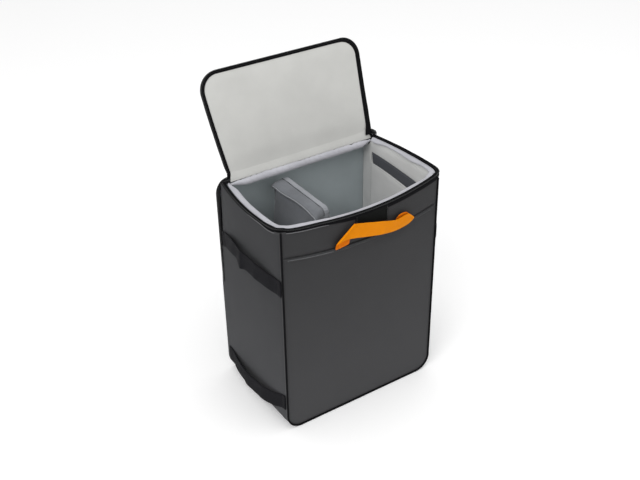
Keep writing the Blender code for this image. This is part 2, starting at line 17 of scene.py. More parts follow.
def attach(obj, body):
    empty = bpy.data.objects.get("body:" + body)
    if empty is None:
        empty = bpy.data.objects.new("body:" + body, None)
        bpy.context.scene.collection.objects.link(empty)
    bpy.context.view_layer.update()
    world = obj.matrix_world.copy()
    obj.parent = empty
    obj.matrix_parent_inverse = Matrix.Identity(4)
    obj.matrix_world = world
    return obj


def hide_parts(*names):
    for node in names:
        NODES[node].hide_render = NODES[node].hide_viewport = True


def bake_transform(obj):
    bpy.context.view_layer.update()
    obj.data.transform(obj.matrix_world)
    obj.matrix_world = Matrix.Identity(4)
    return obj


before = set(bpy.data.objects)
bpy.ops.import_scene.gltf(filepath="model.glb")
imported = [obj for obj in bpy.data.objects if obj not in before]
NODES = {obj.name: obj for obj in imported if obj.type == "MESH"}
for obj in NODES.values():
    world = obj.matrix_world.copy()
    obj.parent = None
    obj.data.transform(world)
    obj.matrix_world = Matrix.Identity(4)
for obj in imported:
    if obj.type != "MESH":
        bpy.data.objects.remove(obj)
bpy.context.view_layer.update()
MM = 0.001

# ------------------------------------------------------------- sizes (mm)
HW, HD, HEIGHT = 150.0, 101.0, 397.0
BASE_R, RIM_R = 28.0, 20.0
SKIN, FOAM, LINING, GAP = 1.4, 7.0, 1.2, 0.3
WALL_TOP, FOAM_TOP = 394.5, 384.9
HINGE_Y, LID_OPEN, LID_LEN, LID_R = 76.3, 107.8, 173.2, 32.0
DOOR_FRONT, DOOR_BACK = 92.0, 101.0


def side_p(y):
    return np.maximum(0.0, 1 - ((y + 12.35) / 88.65) ** 2)


def front_p(x):
    return np.maximum(0.0, 1 - (x / HW) ** 2)


def front_bow(x, z):
    return 16.0 * front_p(x) * z / HEIGHT


def right_p(y):
    """Bow of the right rim along the depth, fullest near the front."""
    t = (np.asarray(y, float) + 60.0)
    t = np.where(t > 0, t / 130.0, t / 41.0)
    return np.maximum(0.0, 1 - np.abs(t) ** np.where(t > 0, 2.0, 4.0))


def side_bow(sign, y, z):
    """The left wall bows out evenly, the right one flares close to the rim."""
    return np.where(np.asarray(sign) < 0, 5.0 * side_p(y) * z / HEIGHT,
                    12.0 * right_p(y) * (np.maximum(0.0, z) / HEIGHT) ** 3)


def front_sag(x):
    return 10.0 * front_p(x)


def side_sag(sign, y):
    """The left rim sags in the middle, the right one doesn't."""
    return np.where(np.asarray(sign) < 0, 10.0 * side_p(y), 0.0)


def top_slope(y):
    return 397.2 - (y - HINGE_Y) * 0.344


def top_round(y):
    return 2.4 + (y - HINGE_Y) * 0.972


def seam_z(x):
    """Height of the seam across the front, which sags towards the middle."""
    return 344.0 - 8.0 * front_p(x)


def smooth(a, b, t):
    t = np.clip((t - a) / (b - a), 0.0, 1.0)
    return t * t * (3 - 2 * t)


def span(lo, hi, n):
    return np.linspace(lo, hi, n + 1)


# --------------------------------------------------------------- meshes
def make(name, verts, faces, mats, sharp=40.0, face_mats=None, recalc=True):
    """A mesh object from points in millimetres."""
    me = bpy.data.meshes.new(name)
    me.from_pydata([tuple(v) for v in np.asarray(verts, float) * MM], [], faces)
    for m in (mats if isinstance(mats, (list, tuple)) else [mats]):
        me.materials.append(m)
    if face_mats is not None:
        me.polygons.foreach_set("material_index", face_mats)
    if recalc:
        bm = bmesh.new()
        bm.from_mesh(me)
        bmesh.ops.recalc_face_normals(bm, faces=bm.faces)
        bm.to_mesh(me)
        bm.free()
    me.shade_smooth()
    if sharp:
        me.set_sharp_from_angle(angle=math.radians(sharp))
    ob = bpy.data.objects.new(name, me)
    bpy.context.scene.collection.objects.link(ob)
    return ob


def shell(name, outer, inner, mats, sharp=40.0, inner_mat=None):
    """Closed solid between two grids of points with the same rows and columns."""
    outer, inner = np.asarray(outer, float), np.asarray(inner, float)
    nr, nc = outer.shape[:2]
    verts = np.concatenate([outer.reshape(-1, 3), inner.reshape(-1, 3)])
    n = nr * nc
    faces, fm = [], []
    for i in range(nr - 1):
        for j in range(nc - 1):
            a = i * nc + j
            faces.append((a, a + 1, a + nc + 1, a + nc))
            fm.append(0)
            faces.append((n + a, n + a + nc, n + a + nc + 1, n + a + 1))
            fm.append(inner_mat or 0)
    for i in range(nr - 1):
        a = i * nc
        faces.append((a, a + nc, n + a + nc, n + a))
        a = i * nc + nc - 1
        faces.append((a, n + a, n + a + nc, a + nc))
        fm += [0, 0]
    for j in range(nc - 1):
        faces.append((j, n + j, n + j + 1, j + 1))
        a = (nr - 1) * nc + j
        faces.append((a, a + 1, n + a + 1, n + a))
        fm += [0, 0]
    return make(name, verts, faces, mats, sharp, fm if inner_mat else None)


def loft(name, rings, mats, closed=False, sharp=40.0):
    """Rings of points joined in turn; the ends are capped, or joined if closed."""
    rings = np.asarray(rings, float)
    nr, n = rings.shape[:2]
    faces = []
    for i in range(nr if closed else nr - 1):
        a, b = i * n, ((i + 1) % nr) * n
        for k in range(n):
            k2 = (k + 1) % n
            faces.append((a + k, a + k2, b + k2, b + k))
    if not closed:
        faces.append(tuple(range(n)))
        faces.append(tuple(reversed(range((nr - 1) * n, nr * n))))
    return make(name, rings.reshape(-1, 3), faces, mats, sharp)


def unit(v):
    v = np.asarray(v, float)
    return v / np.maximum(np.linalg.norm(v, axis=-1, keepdims=True), 1e-9)


def path_frames(pts, up, closed=False):
    """Tangent, side and up vectors along a path; up is a hint per point or one."""
    pts = np.asarray(pts, float)
    if closed:
        t = np.roll(pts, -1, 0) - np.roll(pts, 1, 0)
    else:
        t = np.gradient(pts, axis=0)
    t = unit(t)
    up = np.broadcast_to(np.asarray(up, float), pts.shape)
    side = unit(np.cross(t, up))
    return t, side, np.cross(side, t)


def resample(pts, step, closed=False):
    """Points at an even spacing along a polyline."""
    pts = np.asarray(pts, float)
    if closed:
        pts = np.vstack([pts, pts[:1]])
    seg = np.linalg.norm(np.diff(pts, axis=0), axis=1)
    s = np.concatenate([[0], np.cumsum(seg)])
    n = max(2, int(round(s[-1] / step)) + (0 if closed else 1))
    t = np.linspace(0, s[-1], n, endpoint=not closed)
    return np.stack([np.interp(t, s, pts[:, k]) for k in range(3)], 1), s[-1]


def spline(points, n):
    """Catmull-Rom curve through control rows of any width."""
    p = np.asarray(points, float)
    p = np.vstack([2 * p[0] - p[1], p, 2 * p[-1] - p[-2]])
    out = []
    m = len(p) - 3
    for t in np.linspace(0, m - 1e-9, n):
        i = int(t)
        u = t - i
        a, b, c, d = p[i:i + 4]
        out.append(0.5 * ((2 * b) + (-a + c) * u + (2 * a - 5 * b + 4 * c - d) * u * u
                          + (-a + 3 * b - 3 * c + d) * u ** 3))
    return np.array(out)


def tube(name, pts, r, mats, n=8, closed=False, up=(0, 0, 1), squash=1.0):
    """Round or flattened tube along a path."""
    pts = np.asarray(pts, float)
    t, side, upv = path_frames(pts, up, closed)
    a = np.arange(n) * 2 * math.pi / n
    rr = np.broadcast_to(np.asarray(r, float), (len(pts),))
    rings = (pts[:, None, :] + rr[:, None, None] * (np.cos(a)[None, :, None] * side[:, None, :]
             + squash * np.sin(a)[None, :, None] * upv[:, None, :]))
    return loft(name, rings, mats, closed)


def join(name, objs):
    """Several mesh objects made into one."""
    base = objs[0]
    bm = bmesh.new()
    mats = []
    for o in objs:
        idx = []
        for m in o.data.materials:
            if m not in mats:
                mats.append(m)
            idx.append(mats.index(m))
        start = len(bm.faces)
        bm.from_mesh(o.data)
        bm.faces.ensure_lookup_table()
        for f in bm.faces[start:]:
            f.material_index = idx[f.material_index] if idx else 0
    me = bpy.data.meshes.new(name)
    bm.to_mesh(me)
    bm.free()
    for m in mats:
        me.materials.append(m)
    for o in objs:
        old = o.data
        bpy.data.objects.remove(o)
        bpy.data.meshes.remove(old)
    ob = bpy.data.objects.new(name, me)
    bpy.context.scene.collection.objects.link(ob)
    return ob


def stitches(name, pts, normals, mat, pitch=3.2, length=2.2, r=0.28, closed=False, lift=0.12):
    """A run of sewing thread: one small raised capsule for each stitch."""
    pts, normals = np.asarray(pts, float), np.asarray(normals, float)
    seg = np.linalg.norm(np.diff(pts, axis=0), axis=1)
    s = np.concatenate([[0], np.cumsum(seg)])
    total = s[-1]
    count = max(1, int(total / pitch))
    verts, faces = [], []
    ring = 5
    ang = np.arange(ring) * 2 * math.pi / ring
    for c in range(count):
        mid = (c + 0.5) * total / count
        prof = [(-0.5, 0.25), (-0.32, 0.9), (0.0, 1.0), (0.32, 0.9), (0.5, 0.25)]
        base = len(verts)
        for f, k in prof:
            d = mid + f * length
            p = np.array([np.interp(d, s, pts[:, i]) for i in range(3)])
            nn = unit(np.array([np.interp(d, s, normals[:, i]) for i in range(3)]))
            q = np.array([np.interp(min(total, d + 0.2), s, pts[:, i])
                          - np.interp(max(0, d - 0.2), s, pts[:, i]) for i in range(3)])
            tt = unit(q)
            sd = unit(np.cross(tt, nn))
            height = lift - (0.35 * r if abs(f) > 0.4 else 0.0)
            for a in ang:
                verts.append(p + nn * (height + r * k * math.sin(a)) + sd * r * k * math.cos(a))
        m = len(prof)
        for i in range(m - 1):
            for k in range(ring):
                k2 = (k + 1) % ring
                faces.append((base + i * ring + k, base + i * ring + k2,
                              base + (i + 1) * ring + k2, base + (i + 1) * ring + k))
        faces.append(tuple(base + k for k in range(ring)))
        faces.append(tuple(base + (m - 1) * ring + k for k in reversed(range(ring))))
    return make(name, verts, faces, mat, sharp=0)


def wave(p, scale, seed=0.0):
    """Smooth noise in -1..1 for rows of points."""
    p = np.asarray(p, float).reshape(-1, 3)
    return np.array([noise.noise(Vector((q[0] / scale + seed, q[1] / scale - seed * 0.7,
                                         q[2] / scale + seed * 1.3))) for q in p])


# ------------------------------------------------------------- materials
def fabric(name, colour, rough=0.8, weave=0.55, depth=0.5, vary=0.10, wear=0.0, sheen=0.15,
           kind="plain", mix=0.22, tint=(1, 1, 1), coord_scale=1.0, spec=0.35, painted_bounce=None):
    """Woven cloth: two crossed thread waves in object space give colour and bump,
    with a slow change of tone, lighter, rubbed edges and painted bounce light that brightens the lower part."""
    m = bpy.data.materials.new(name)
    m.use_nodes = True
    nt = m.node_tree
    nd, lk = nt.nodes, nt.links
    b = nd["Principled BSDF"]
    b.inputs["Roughness"].default_value = rough
    b.inputs["Sheen Weight"].default_value = sheen
    b.inputs["Sheen Roughness"].default_value = 0.45
    b.inputs["Sheen Tint"].default_value = (*tint, 1)
    b.inputs["Specular IOR Level"].default_value = spec
    geo = nd.new("ShaderNodeTexCoord")
    sep = nd.new("ShaderNodeSeparateXYZ")
    lk.new(geo.outputs["Object"], sep.inputs[0])

    def math_node(op, a=None, c=None, val=None, val2=None):
        n = nd.new("ShaderNodeMath")
        n.operation = op
        if a is not None:
            lk.new(a, n.inputs[0])
        elif val is not None:
            n.inputs[0].default_value = val
        if c is not None:
            lk.new(c, n.inputs[1])
        elif val2 is not None:
            n.inputs[1].default_value = val2
        return n.outputs[0]

    k = 2 * math.pi / (weave * MM * coord_scale)
    # the weave lies in the plane of the cloth: the horizontal run is x + y, the other is z
    run = math_node("ADD", sep.outputs[0], sep.outputs[1])
    u = math_node("SINE", math_node("MULTIPLY", run, val2=k))
    rise = sep.outputs[2]
    if kind == "flat":      # cloth that lies level
        u = math_node("SINE", math_node("MULTIPLY", sep.outputs[0], val2=k))
        rise = sep.outputs[1]
    v = math_node("SINE", math_node("MULTIPLY", rise, val2=k))
    prod = math_node("MULTIPLY", u, v)
    fuzz = nd.new("ShaderNodeTexNoise")
    fuzz.inputs["Scale"].default_value = 900.0
    fuzz.inputs["Detail"].default_value = 2.0
    lk.new(geo.outputs["Object"], fuzz.inputs["Vector"])
    slow = nd.new("ShaderNodeTexNoise")
    slow.inputs["Scale"].default_value = 16.0
    slow.inputs["Detail"].default_value = 3.0
    slow.inputs["Roughness"].default_value = 0.55
    lk.new(geo.outputs["Object"], slow.inputs["Vector"])
    # colour = base * (1 + weave + fuzz + slow)
    fine = math_node("MULTIPLY", prod, val2=mix)
    fz = math_node("MULTIPLY_ADD", fuzz.outputs["Fac"], val2=mix * 1.6)
    nd_last = nt.nodes[-1]
    nd_last.inputs[2].default_value = -mix * 0.8
    sl = math_node("MULTIPLY_ADD", slow.outputs["Fac"], val2=vary * 2)
    nt.nodes[-1].inputs[2].default_value = -vary
    total = math_node("ADD", math_node("ADD", fine, fz), sl)
    fac = math_node("MULTIPLY_ADD", total, val2=0.5)
    nt.nodes[-1].inputs[2].default_value = 0.5
    ramp = nd.new("ShaderNodeValToRGB")
    dark = [c * (1 - 0.5) for c in colour]
    light = [min(1.0, c * 1.5) for c in colour]
    ramp.color_ramp.elements[0].position = 0.0
    ramp.color_ramp.elements[0].color = (*dark, 1)
    ramp.color_ramp.elements[1].position = 1.0
    ramp.color_ramp.elements[1].color = (*light, 1)
    lk.new(fac, ramp.inputs["Fac"])
    col = ramp.outputs["Color"]
    if wear > 0:
        pt = nd.new("ShaderNodeNewGeometry")
        wr = nd.new("ShaderNodeMapRange")
        wr.inputs["From Min"].default_value = 0.52
        wr.inputs["From Max"].default_value = 0.62
        wr.inputs["To Max"].default_value = wear
        lk.new(pt.outputs["Pointiness"], wr.inputs["Value"])
        mx = nd.new("ShaderNodeMix")
        mx.data_type = "RGBA"
        lk.new(wr.outputs[0], mx.inputs["Factor"])
        lk.new(col, mx.inputs[6])
        mx.inputs[7].default_value = (*[min(1, c * 2.2 + 0.02) for c in colour], 1)
        col = mx.outputs[2]
    # painted bounce light: the colour is multiplied by a gain that rises towards the floor, in place of light thrown up
    # from it
    if painted_bounce:
        bounce_gain = nd.new("ShaderNodeMapRange")
        for key, value in zip(("From Min", "To Min", "From Max", "To Max"), painted_bounce):
            bounce_gain.inputs[key].default_value = value
        lk.new(sep.outputs[2], bounce_gain.inputs["Value"])
        mx = nd.new("ShaderNodeMix")
        mx.data_type = "RGBA"
        mx.blend_type = "MULTIPLY"
        mx.inputs["Factor"].default_value = 1.0
        lk.new(col, mx.inputs[6])
        lk.new(bounce_gain.outputs[0], mx.inputs[7])
        col = mx.outputs[2]
    lk.new(col, b.inputs["Base Color"])
    bump = nd.new("ShaderNodeBump")
    bump.inputs["Strength"].default_value = depth
    bump.inputs["Distance"].default_value = 0.00025
    h = math_node("ADD", math_node("MULTIPLY", prod, val2=0.5),
                  math_node("MULTIPLY", fuzz.outputs["Fac"], val2=0.8))
    lk.new(h, bump.inputs["Height"])
    lk.new(bump.outputs[0], b.inputs["Normal"])
    return m


def brushed(name, colour, rough=0.95, vary=0.05, sheen=0.5, fuzz_scale=1400.0, depth=0.6, rib=0.0,
            rib_axis=0, rib_pitch=1.6, tint=(1, 1, 1)):
    """Brushed loop cloth: soft pile, no thread direction."""
    m = bpy.data.materials.new(name)
    m.use_nodes = True
    nt = m.node_tree
    nd, lk = nt.nodes, nt.links
    b = nd["Principled BSDF"]
    b.inputs["Roughness"].default_value = rough
    b.inputs["Sheen Weight"].default_value = sheen
    b.inputs["Sheen Roughness"].default_value = 0.5
    b.inputs["Sheen Tint"].default_value = (*tint, 1)
    b.inputs["Specular IOR Level"].default_value = 0.15
    geo = nd.new("ShaderNodeTexCoord")
    n1 = nd.new("ShaderNodeTexNoise")
    n1.inputs["Scale"].default_value = fuzz_scale
    n1.inputs["Detail"].default_value = 3.0
    lk.new(geo.outputs["Object"], n1.inputs["Vector"])
    n2 = nd.new("ShaderNodeTexNoise")
    n2.inputs["Scale"].default_value = 22.0
    n2.inputs["Detail"].default_value = 4.0
    lk.new(geo.outputs["Object"], n2.inputs["Vector"])
    add = nd.new("ShaderNodeMath")
    add.operation = "MULTIPLY_ADD"
    lk.new(n1.outputs["Fac"], add.inputs[0])
    add.inputs[1].default_value = 0.35
    lk.new(n2.outputs["Fac"], add.inputs[2])
    ramp = nd.new("ShaderNodeValToRGB")
    ramp.color_ramp.elements[0].position = 0.35
    ramp.color_ramp.elements[0].color = (*[c * (1 - vary * 2) for c in colour], 1)
    ramp.color_ramp.elements[1].position = 1.0
    ramp.color_ramp.elements[1].color = (*[min(1, c * (1 + vary * 2)) for c in colour], 1)
    lk.new(add.outputs[0], ramp.inputs["Fac"])
    lk.new(ramp.outputs["Color"], b.inputs["Base Color"])
    bump = nd.new("ShaderNodeBump")
    bump.inputs["Strength"].default_value = depth
    bump.inputs["Distance"].default_value = 0.0003
    lk.new(n1.outputs["Fac"], bump.inputs["Height"])
    lk.new(bump.outputs[0], b.inputs["Normal"])
    return m


def webbing(name, colour, axis="x", pitch=1.5, rough=0.6, depth=0.8, sheen=0.2, spec=0.4,
            uv=False, contrast=0.35):
    """Ribbed webbing: a herringbone of short threads along the length, in UVs
    measured in millimetres."""
    m = bpy.data.materials.new(name)
    m.use_nodes = True
    nt = m.node_tree
    nd, lk = nt.nodes, nt.links
    b = nd["Principled BSDF"]
    b.inputs["Roughness"].default_value = rough
    b.inputs["Sheen Weight"].default_value = sheen
    b.inputs["Sheen Roughness"].default_value = 0.4
    b.inputs["Specular IOR Level"].default_value = spec
    uvn = nd.new("ShaderNodeUVMap")
    sep = nd.new("ShaderNodeSeparateXYZ")
    lk.new(uvn.outputs["UV"], sep.inputs[0])

    def mth(op, a, c=None, v=0.0, w=None):
        n = nd.new("ShaderNodeMath")
        n.operation = op
        lk.new(a, n.inputs[0])
        if c is not None:
            lk.new(c, n.inputs[1])
        else:
            n.inputs[1].default_value = v
        if w is not None:
            n.inputs[2].default_value = w
        return n.outputs[0]
    # u runs along the strap and v across it, both in metres
    across = mth("MULTIPLY", sep.outputs[1], v=1.0 / (pitch * MM))
    rib = mth("SINE", mth("MULTIPLY", across, v=2 * math.pi))
    zig = mth("PINGPONG", across, v=1.0)
    diag = mth("ADD", mth("MULTIPLY", sep.outputs[0], v=1.0 / (0.9 * MM)), zig)
    thread = mth("SINE", mth("MULTIPLY", diag, v=2 * math.pi))
    h = mth("ADD", mth("MULTIPLY", rib, v=0.6), mth("MULTIPLY", thread, v=0.4))
    noise_n = nd.new("ShaderNodeTexNoise")
    noise_n.inputs["Scale"].default_value = 60.0
    geo = nd.new("ShaderNodeTexCoord")
    lk.new(geo.outputs["Object"], noise_n.inputs["Vector"])
    fac = mth("MULTIPLY_ADD", h, v=contrast * 0.5, w=0.5)
    fac = mth("ADD", fac, mth("MULTIPLY_ADD", noise_n.outputs["Fac"], v=0.3, w=-0.15))
    ramp = nd.new("ShaderNodeValToRGB")
    ramp.color_ramp.elements[0].color = (*[c * 0.55 for c in colour], 1)
    ramp.color_ramp.elements[1].color = (*[min(1, c * 1.45) for c in colour], 1)
    lk.new(fac, ramp.inputs["Fac"])
    lk.new(ramp.outputs["Color"], b.inputs["Base Color"])
    bump = nd.new("ShaderNodeBump")
    bump.inputs["Strength"].default_value = depth
    bump.inputs["Distance"].default_value = 0.0003
    lk.new(h, bump.inputs["Height"])
    lk.new(bump.outputs[0], b.inputs["Normal"])
    return m


def plain(name, colour, rough=0.5, metal=0.0, scratch=0.15, coat=0.0):
    """Moulded or painted small part: faint unevenness and rubbed edges."""
    m = bpy.data.materials.new(name)
    m.use_nodes = True
    nt = m.node_tree
    nd, lk = nt.nodes, nt.links
    b = nd["Principled BSDF"]
    b.inputs["Metallic"].default_value = metal
    b.inputs["Coat Weight"].default_value = coat
    geo = nd.new("ShaderNodeTexCoord")
    n1 = nd.new("ShaderNodeTexNoise")
    n1.inputs["Scale"].default_value = 380.0
    n1.inputs["Detail"].default_value = 4.0
    lk.new(geo.outputs["Object"], n1.inputs["Vector"])
    mr = nd.new("ShaderNodeMapRange")
    mr.inputs["To Min"].default_value = rough * 0.8
    mr.inputs["To Max"].default_value = min(1.0, rough * 1.25)
    lk.new(n1.outputs["Fac"], mr.inputs["Value"])
    lk.new(mr.outputs[0], b.inputs["Roughness"])
    pt = nd.new("ShaderNodeNewGeometry")
    wr = nd.new("ShaderNodeMapRange")
    wr.inputs["From Min"].default_value = 0.55
    wr.inputs["From Max"].default_value = 0.7
    wr.inputs["To Max"].default_value = scratch
    lk.new(pt.outputs["Pointiness"], wr.inputs["Value"])
    mx = nd.new("ShaderNodeMix")
    mx.data_type = "RGBA"
    lk.new(wr.outputs[0], mx.inputs["Factor"])
    mx.inputs[6].default_value = (*colour, 1)
    mx.inputs[7].default_value = (*[min(1, c * 3 + 0.05) for c in colour], 1)
    lk.new(mx.outputs[2], b.inputs["Base Color"])
    bump = nd.new("ShaderNodeBump")
    bump.inputs["Strength"].default_value = 0.15
    bump.inputs["Distance"].default_value = 0.0002
    lk.new(n1.outputs["Fac"], bump.inputs["Height"])
    lk.new(bump.outputs[0], b.inputs["Normal"])
    return m


# front and side cloth: their painted_bounce gain is painted light, brighter towards the bottom
M_FRONT = fabric("front_cloth", (0.0335, 0.0335, 0.035), rough=0.78, weave=0.9, vary=0.08, wear=0.25,
                 sheen=0.03, spec=0.14, painted_bounce=(0.0, 1.66, 0.36, 1.04))
M_SIDE = fabric("side_cloth", (0.0375, 0.038, 0.0405), rough=0.8, weave=0.9, vary=0.1, wear=0.25,
                mix=0.26, sheen=0.03, spec=0.14, painted_bounce=(0.0, 1.55, 0.28, 0.97))
# cloth of the welt and hem lip, painted light grey as a painted highlight on those raised edges
M_WELT_HIGHLIGHT = fabric("welt_painted_highlight", (0.125, 0.125, 0.13), rough=0.8, weave=0.7, vary=0.1, sheen=0.05, spec=0.15)
M_BASE = fabric("base_cloth", (0.038, 0.038, 0.040), rough=0.75, weave=0.9, kind="flat", wear=0.3)
M_BIND = fabric("binding_tape", (0.0042, 0.0042, 0.005), rough=0.75, weave=0.7, sheen=0.0, mix=0.3,
                wear=0.08, spec=0.05)
M_LINING = brushed("loop_lining", (0.53, 0.53, 0.51), vary=0.03, sheen=0.35)
# blue-grey loop lining, darkened with painted shade, for the rear wall, door, floor and top strip
M_LINING_BLUE_SHADED = brushed("loop_lining_shade", (0.42, 0.475, 0.49), vary=0.05, sheen=0.3)
# the inner wall lining: the loop lining made lighter as painted light, to make up for the shade inside the box
M_LINING_WALL_LIT = brushed("loop_lining_painted_light", (0.67, 0.67, 0.66), vary=0.04, sheen=0.3)
M_COLLAR = brushed("collar_cloth", (0.45, 0.45, 0.485), vary=0.07, sheen=0.2, fuzz_scale=1000.0)
M_WEB = webbing("black_webbing", (0.0088, 0.0086, 0.0108), pitch=1.7, rough=0.7, sheen=0.0, spec=0.07)
M_ORANGE = webbing("orange_webbing", (0.94, 0.236, 0.0006), pitch=1.3, rough=0.6, contrast=0.34,
                   depth=0.7, sheen=0.0, spec=0.06)
# the same orange webbing, darker as painted shade, for the handle's tails
M_ORANGE_SHADE = webbing("orange_webbing_painted_shade", (0.78, 0.165, 0.001), pitch=1.3, rough=0.6, contrast=0.5,
                         depth=0.9, sheen=0.0, spec=0.05)
M_DIVIDER = brushed("divider_cloth", (0.150, 0.158, 0.172), vary=0.12, sheen=0.2, fuzz_scale=1100.0,
                    depth=0.9)
M_HOOK = fabric("hook_tape", (0.088, 0.092, 0.103), rough=0.9, weave=1.5, mix=0.45, depth=0.9,
                sheen=0.05, spec=0.12)
M_LABEL = fabric("label_cloth", (0.0065, 0.007, 0.0068), rough=0.75, weave=0.45, mix=0.25, sheen=0.0, spec=0.06)
M_THREAD = fabric("black_thread", (0.012, 0.012, 0.013), rough=0.5, weave=0.4, sheen=0.02)
M_DIVIDER_LIGHT = brushed("divider_hem_cloth", (0.27, 0.28, 0.30), vary=0.06, sheen=0.3, fuzz_scale=1300.0)
M_THREAD_GREY = fabric("grey_thread", (0.10, 0.10, 0.105), rough=0.5, weave=0.4)
M_THREAD_LIGHT = fabric("light_thread", (0.40, 0.40, 0.40), rough=0.6, weave=0.4)
M_THREAD_ORANGE = fabric("orange_thread", (0.85, 0.24, 0.01), rough=0.5, weave=0.4)
M_TOOTH = plain("zip_coil", (0.007, 0.007, 0.0075), rough=0.42, scratch=0.2)
M_METAL = plain("slider_metal", (0.006, 0.006, 0.0065), rough=0.5, metal=0.0, scratch=0.12)
M_FOAM = brushed("foam_board", (0.11, 0.11, 0.12), vary=0.1, sheen=0.0, fuzz_scale=500.0, depth=1.0)


# ------------------------------------------------------- small repeated parts
def capsules(name, centres, dirs, ups, half, r, mat, seg=6, flat=1.0):
    """Many small rounded bars: centre, direction and upward vector for each."""
    c, d, u = np.asarray(centres, float), unit(dirs), unit(ups)
    s = unit(np.cross(d, u))
    u = np.cross(s, d)
    prof = np.array([(-1.0, 0.35), (-0.82, 0.8), (-0.4, 1.0), (0.4, 1.0), (0.82, 0.8), (1.0, 0.35)])
    a = np.arange(seg) * 2 * math.pi / seg
    pts = (c[:, None, None, :]
           + d[:, None, None, :] * (prof[:, 0] * half)[None, :, None, None]
           + s[:, None, None, :] * (prof[:, 1] * r)[None, :, None, None] * np.cos(a)[None, None, :, None]
           + u[:, None, None, :] * (prof[:, 1] * r * flat)[None, :, None, None] * np.sin(a)[None, None, :, None])
    m = len(prof)
    tmpl = []
    for i in range(m - 1):
        for k in range(seg):
            k2 = (k + 1) % seg
            tmpl.append((i * seg + k, i * seg + k2, (i + 1) * seg + k2, (i + 1) * seg + k))
    caps = [tuple(range(seg))[::-1], tuple(range((m - 1) * seg, m * seg))]
    faces = []
    for i in range(len(c)):
        o = i * m * seg
        faces += [tuple(o + k for k in f) for f in tmpl] + [tuple(o + k for k in f) for f in caps]
    return make(name, pts.reshape(-1, 3), faces, mat, sharp=0, recalc=False)


def along(pts, normals, pitch, closed=False):
    """Evenly spaced places on a path, with their normals and tangents."""
    pts, normals = np.asarray(pts, float), np.asarray(normals, float)
    seg = np.linalg.norm(np.diff(pts, axis=0), axis=1)
    s = np.concatenate([[0], np.cumsum(seg)])
    n = max(1, int(s[-1] / pitch))
    at = (np.arange(n) + 0.5) * s[-1] / n
    get = lambda q, t: np.stack([np.interp(t, s, q[:, k]) for k in range(3)], 1)
    p, nn = get(pts, at), unit(get(normals, at))
    tt = unit(get(pts, np.minimum(at + 0.3, s[-1])) - get(pts, np.maximum(at - 0.3, 0)))
    return p, nn, tt


def sew(name, pts, normals, mat, pitch=3.0, length=2.1, r=0.27, lift=0.1):
    """A line of machine stitches on a surface."""
    p, n, t = along(pts, normals, pitch)
    return capsules(name, p + n * lift, t, n, length / 2, r, mat, seg=5)


def zip_teeth(name, pts, normals, mat, pitch=1.55, width=2.6, r=0.62):
    """A zip coil: one turn after another across the line."""
    p, n, t = along(pts, normals, pitch)
    side = unit(np.cross(t, n))
    return capsules(name, p + n * 0.2, side + 0.22 * t, n, width / 2, r, mat, seg=6, flat=0.85)


def grid_normals(g):
    """Normals of a grid of points."""
    g = np.asarray(g, float)
    return unit(np.cross(np.gradient(g, axis=1), np.gradient(g, axis=0)))


def sheet_uv(ob, nr, nc, points):
    """Flat-cloth coordinates in metres for a shell made from a grid."""
    g = np.asarray(points, float)
    u = np.zeros((nr, nc))
    u[:, 1:] = np.cumsum(np.linalg.norm(np.diff(g, axis=1), axis=2), axis=1)
    v = np.zeros((nr, nc))
    v[1:] = np.cumsum(np.linalg.norm(np.diff(g, axis=0), axis=2), axis=0)
    uv = np.stack([u, v], 2).reshape(-1, 2) * MM
    layer = ob.data.uv_layers.new(name="UVMap")
    idx = np.zeros(len(ob.data.loops), np.int32)
    ob.data.loops.foreach_get("vertex_index", idx)
    layer.data.foreach_set("uv", uv[idx % (nr * nc)].astype(np.float32).ravel())


def ribbon(name, rows, thick, mat, across=14, along_n=None, ripple=0.0, seed=0.0, cup=0.0):
    """Webbing from control rows (left edge xyz, right edge xyz), smoothed along
    its length, with rounded selvedges."""
    rows = np.asarray(rows, float).reshape(-1, 6)
    if along_n:
        rows = spline(rows, along_n)
    a, b = rows[:, :3], rows[:, 3:]
    v = (1 - np.cos(np.linspace(0, math.pi, across))) / 2
    mid = a[:, None, :] * (1 - v)[None, :, None] + b[:, None, :] * v[None, :, None]
    n = grid_normals(mid)
    if cup or ripple:
        bulge = cup * (4 * v * (1 - v))[None, :]
        if ripple:
            bulge = bulge + ripple * wave(mid, 14.0, seed).reshape(mid.shape[:2])
        mid = mid + n * bulge[:, :, None]
    t = 0.5 * thick * np.sqrt(np.clip(1 - (2 * v - 1) ** 8, 0.0, 1)) + 0.03
    ob = shell(name, mid + n * t[None, :, None], mid - n * t[None, :, None], mat, sharp=0)
    width = np.linalg.norm(b - a, axis=1)
    length = np.concatenate([[0], np.cumsum(np.linalg.norm(np.diff((a + b) / 2, axis=0), axis=1))])
    uv = np.stack([np.repeat(length[:, None], across, 1), width[:, None] * v[None, :]], 2)
    uv = uv.reshape(-1, 2) * MM
    layer = ob.data.uv_layers.new(name="UVMap")
    idx = np.zeros(len(ob.data.loops), np.int32)
    ob.data.loops.foreach_get("vertex_index", idx)
    layer.data.foreach_set("uv", uv[idx % len(uv)].astype(np.float32).ravel())
    return ob, mid, n


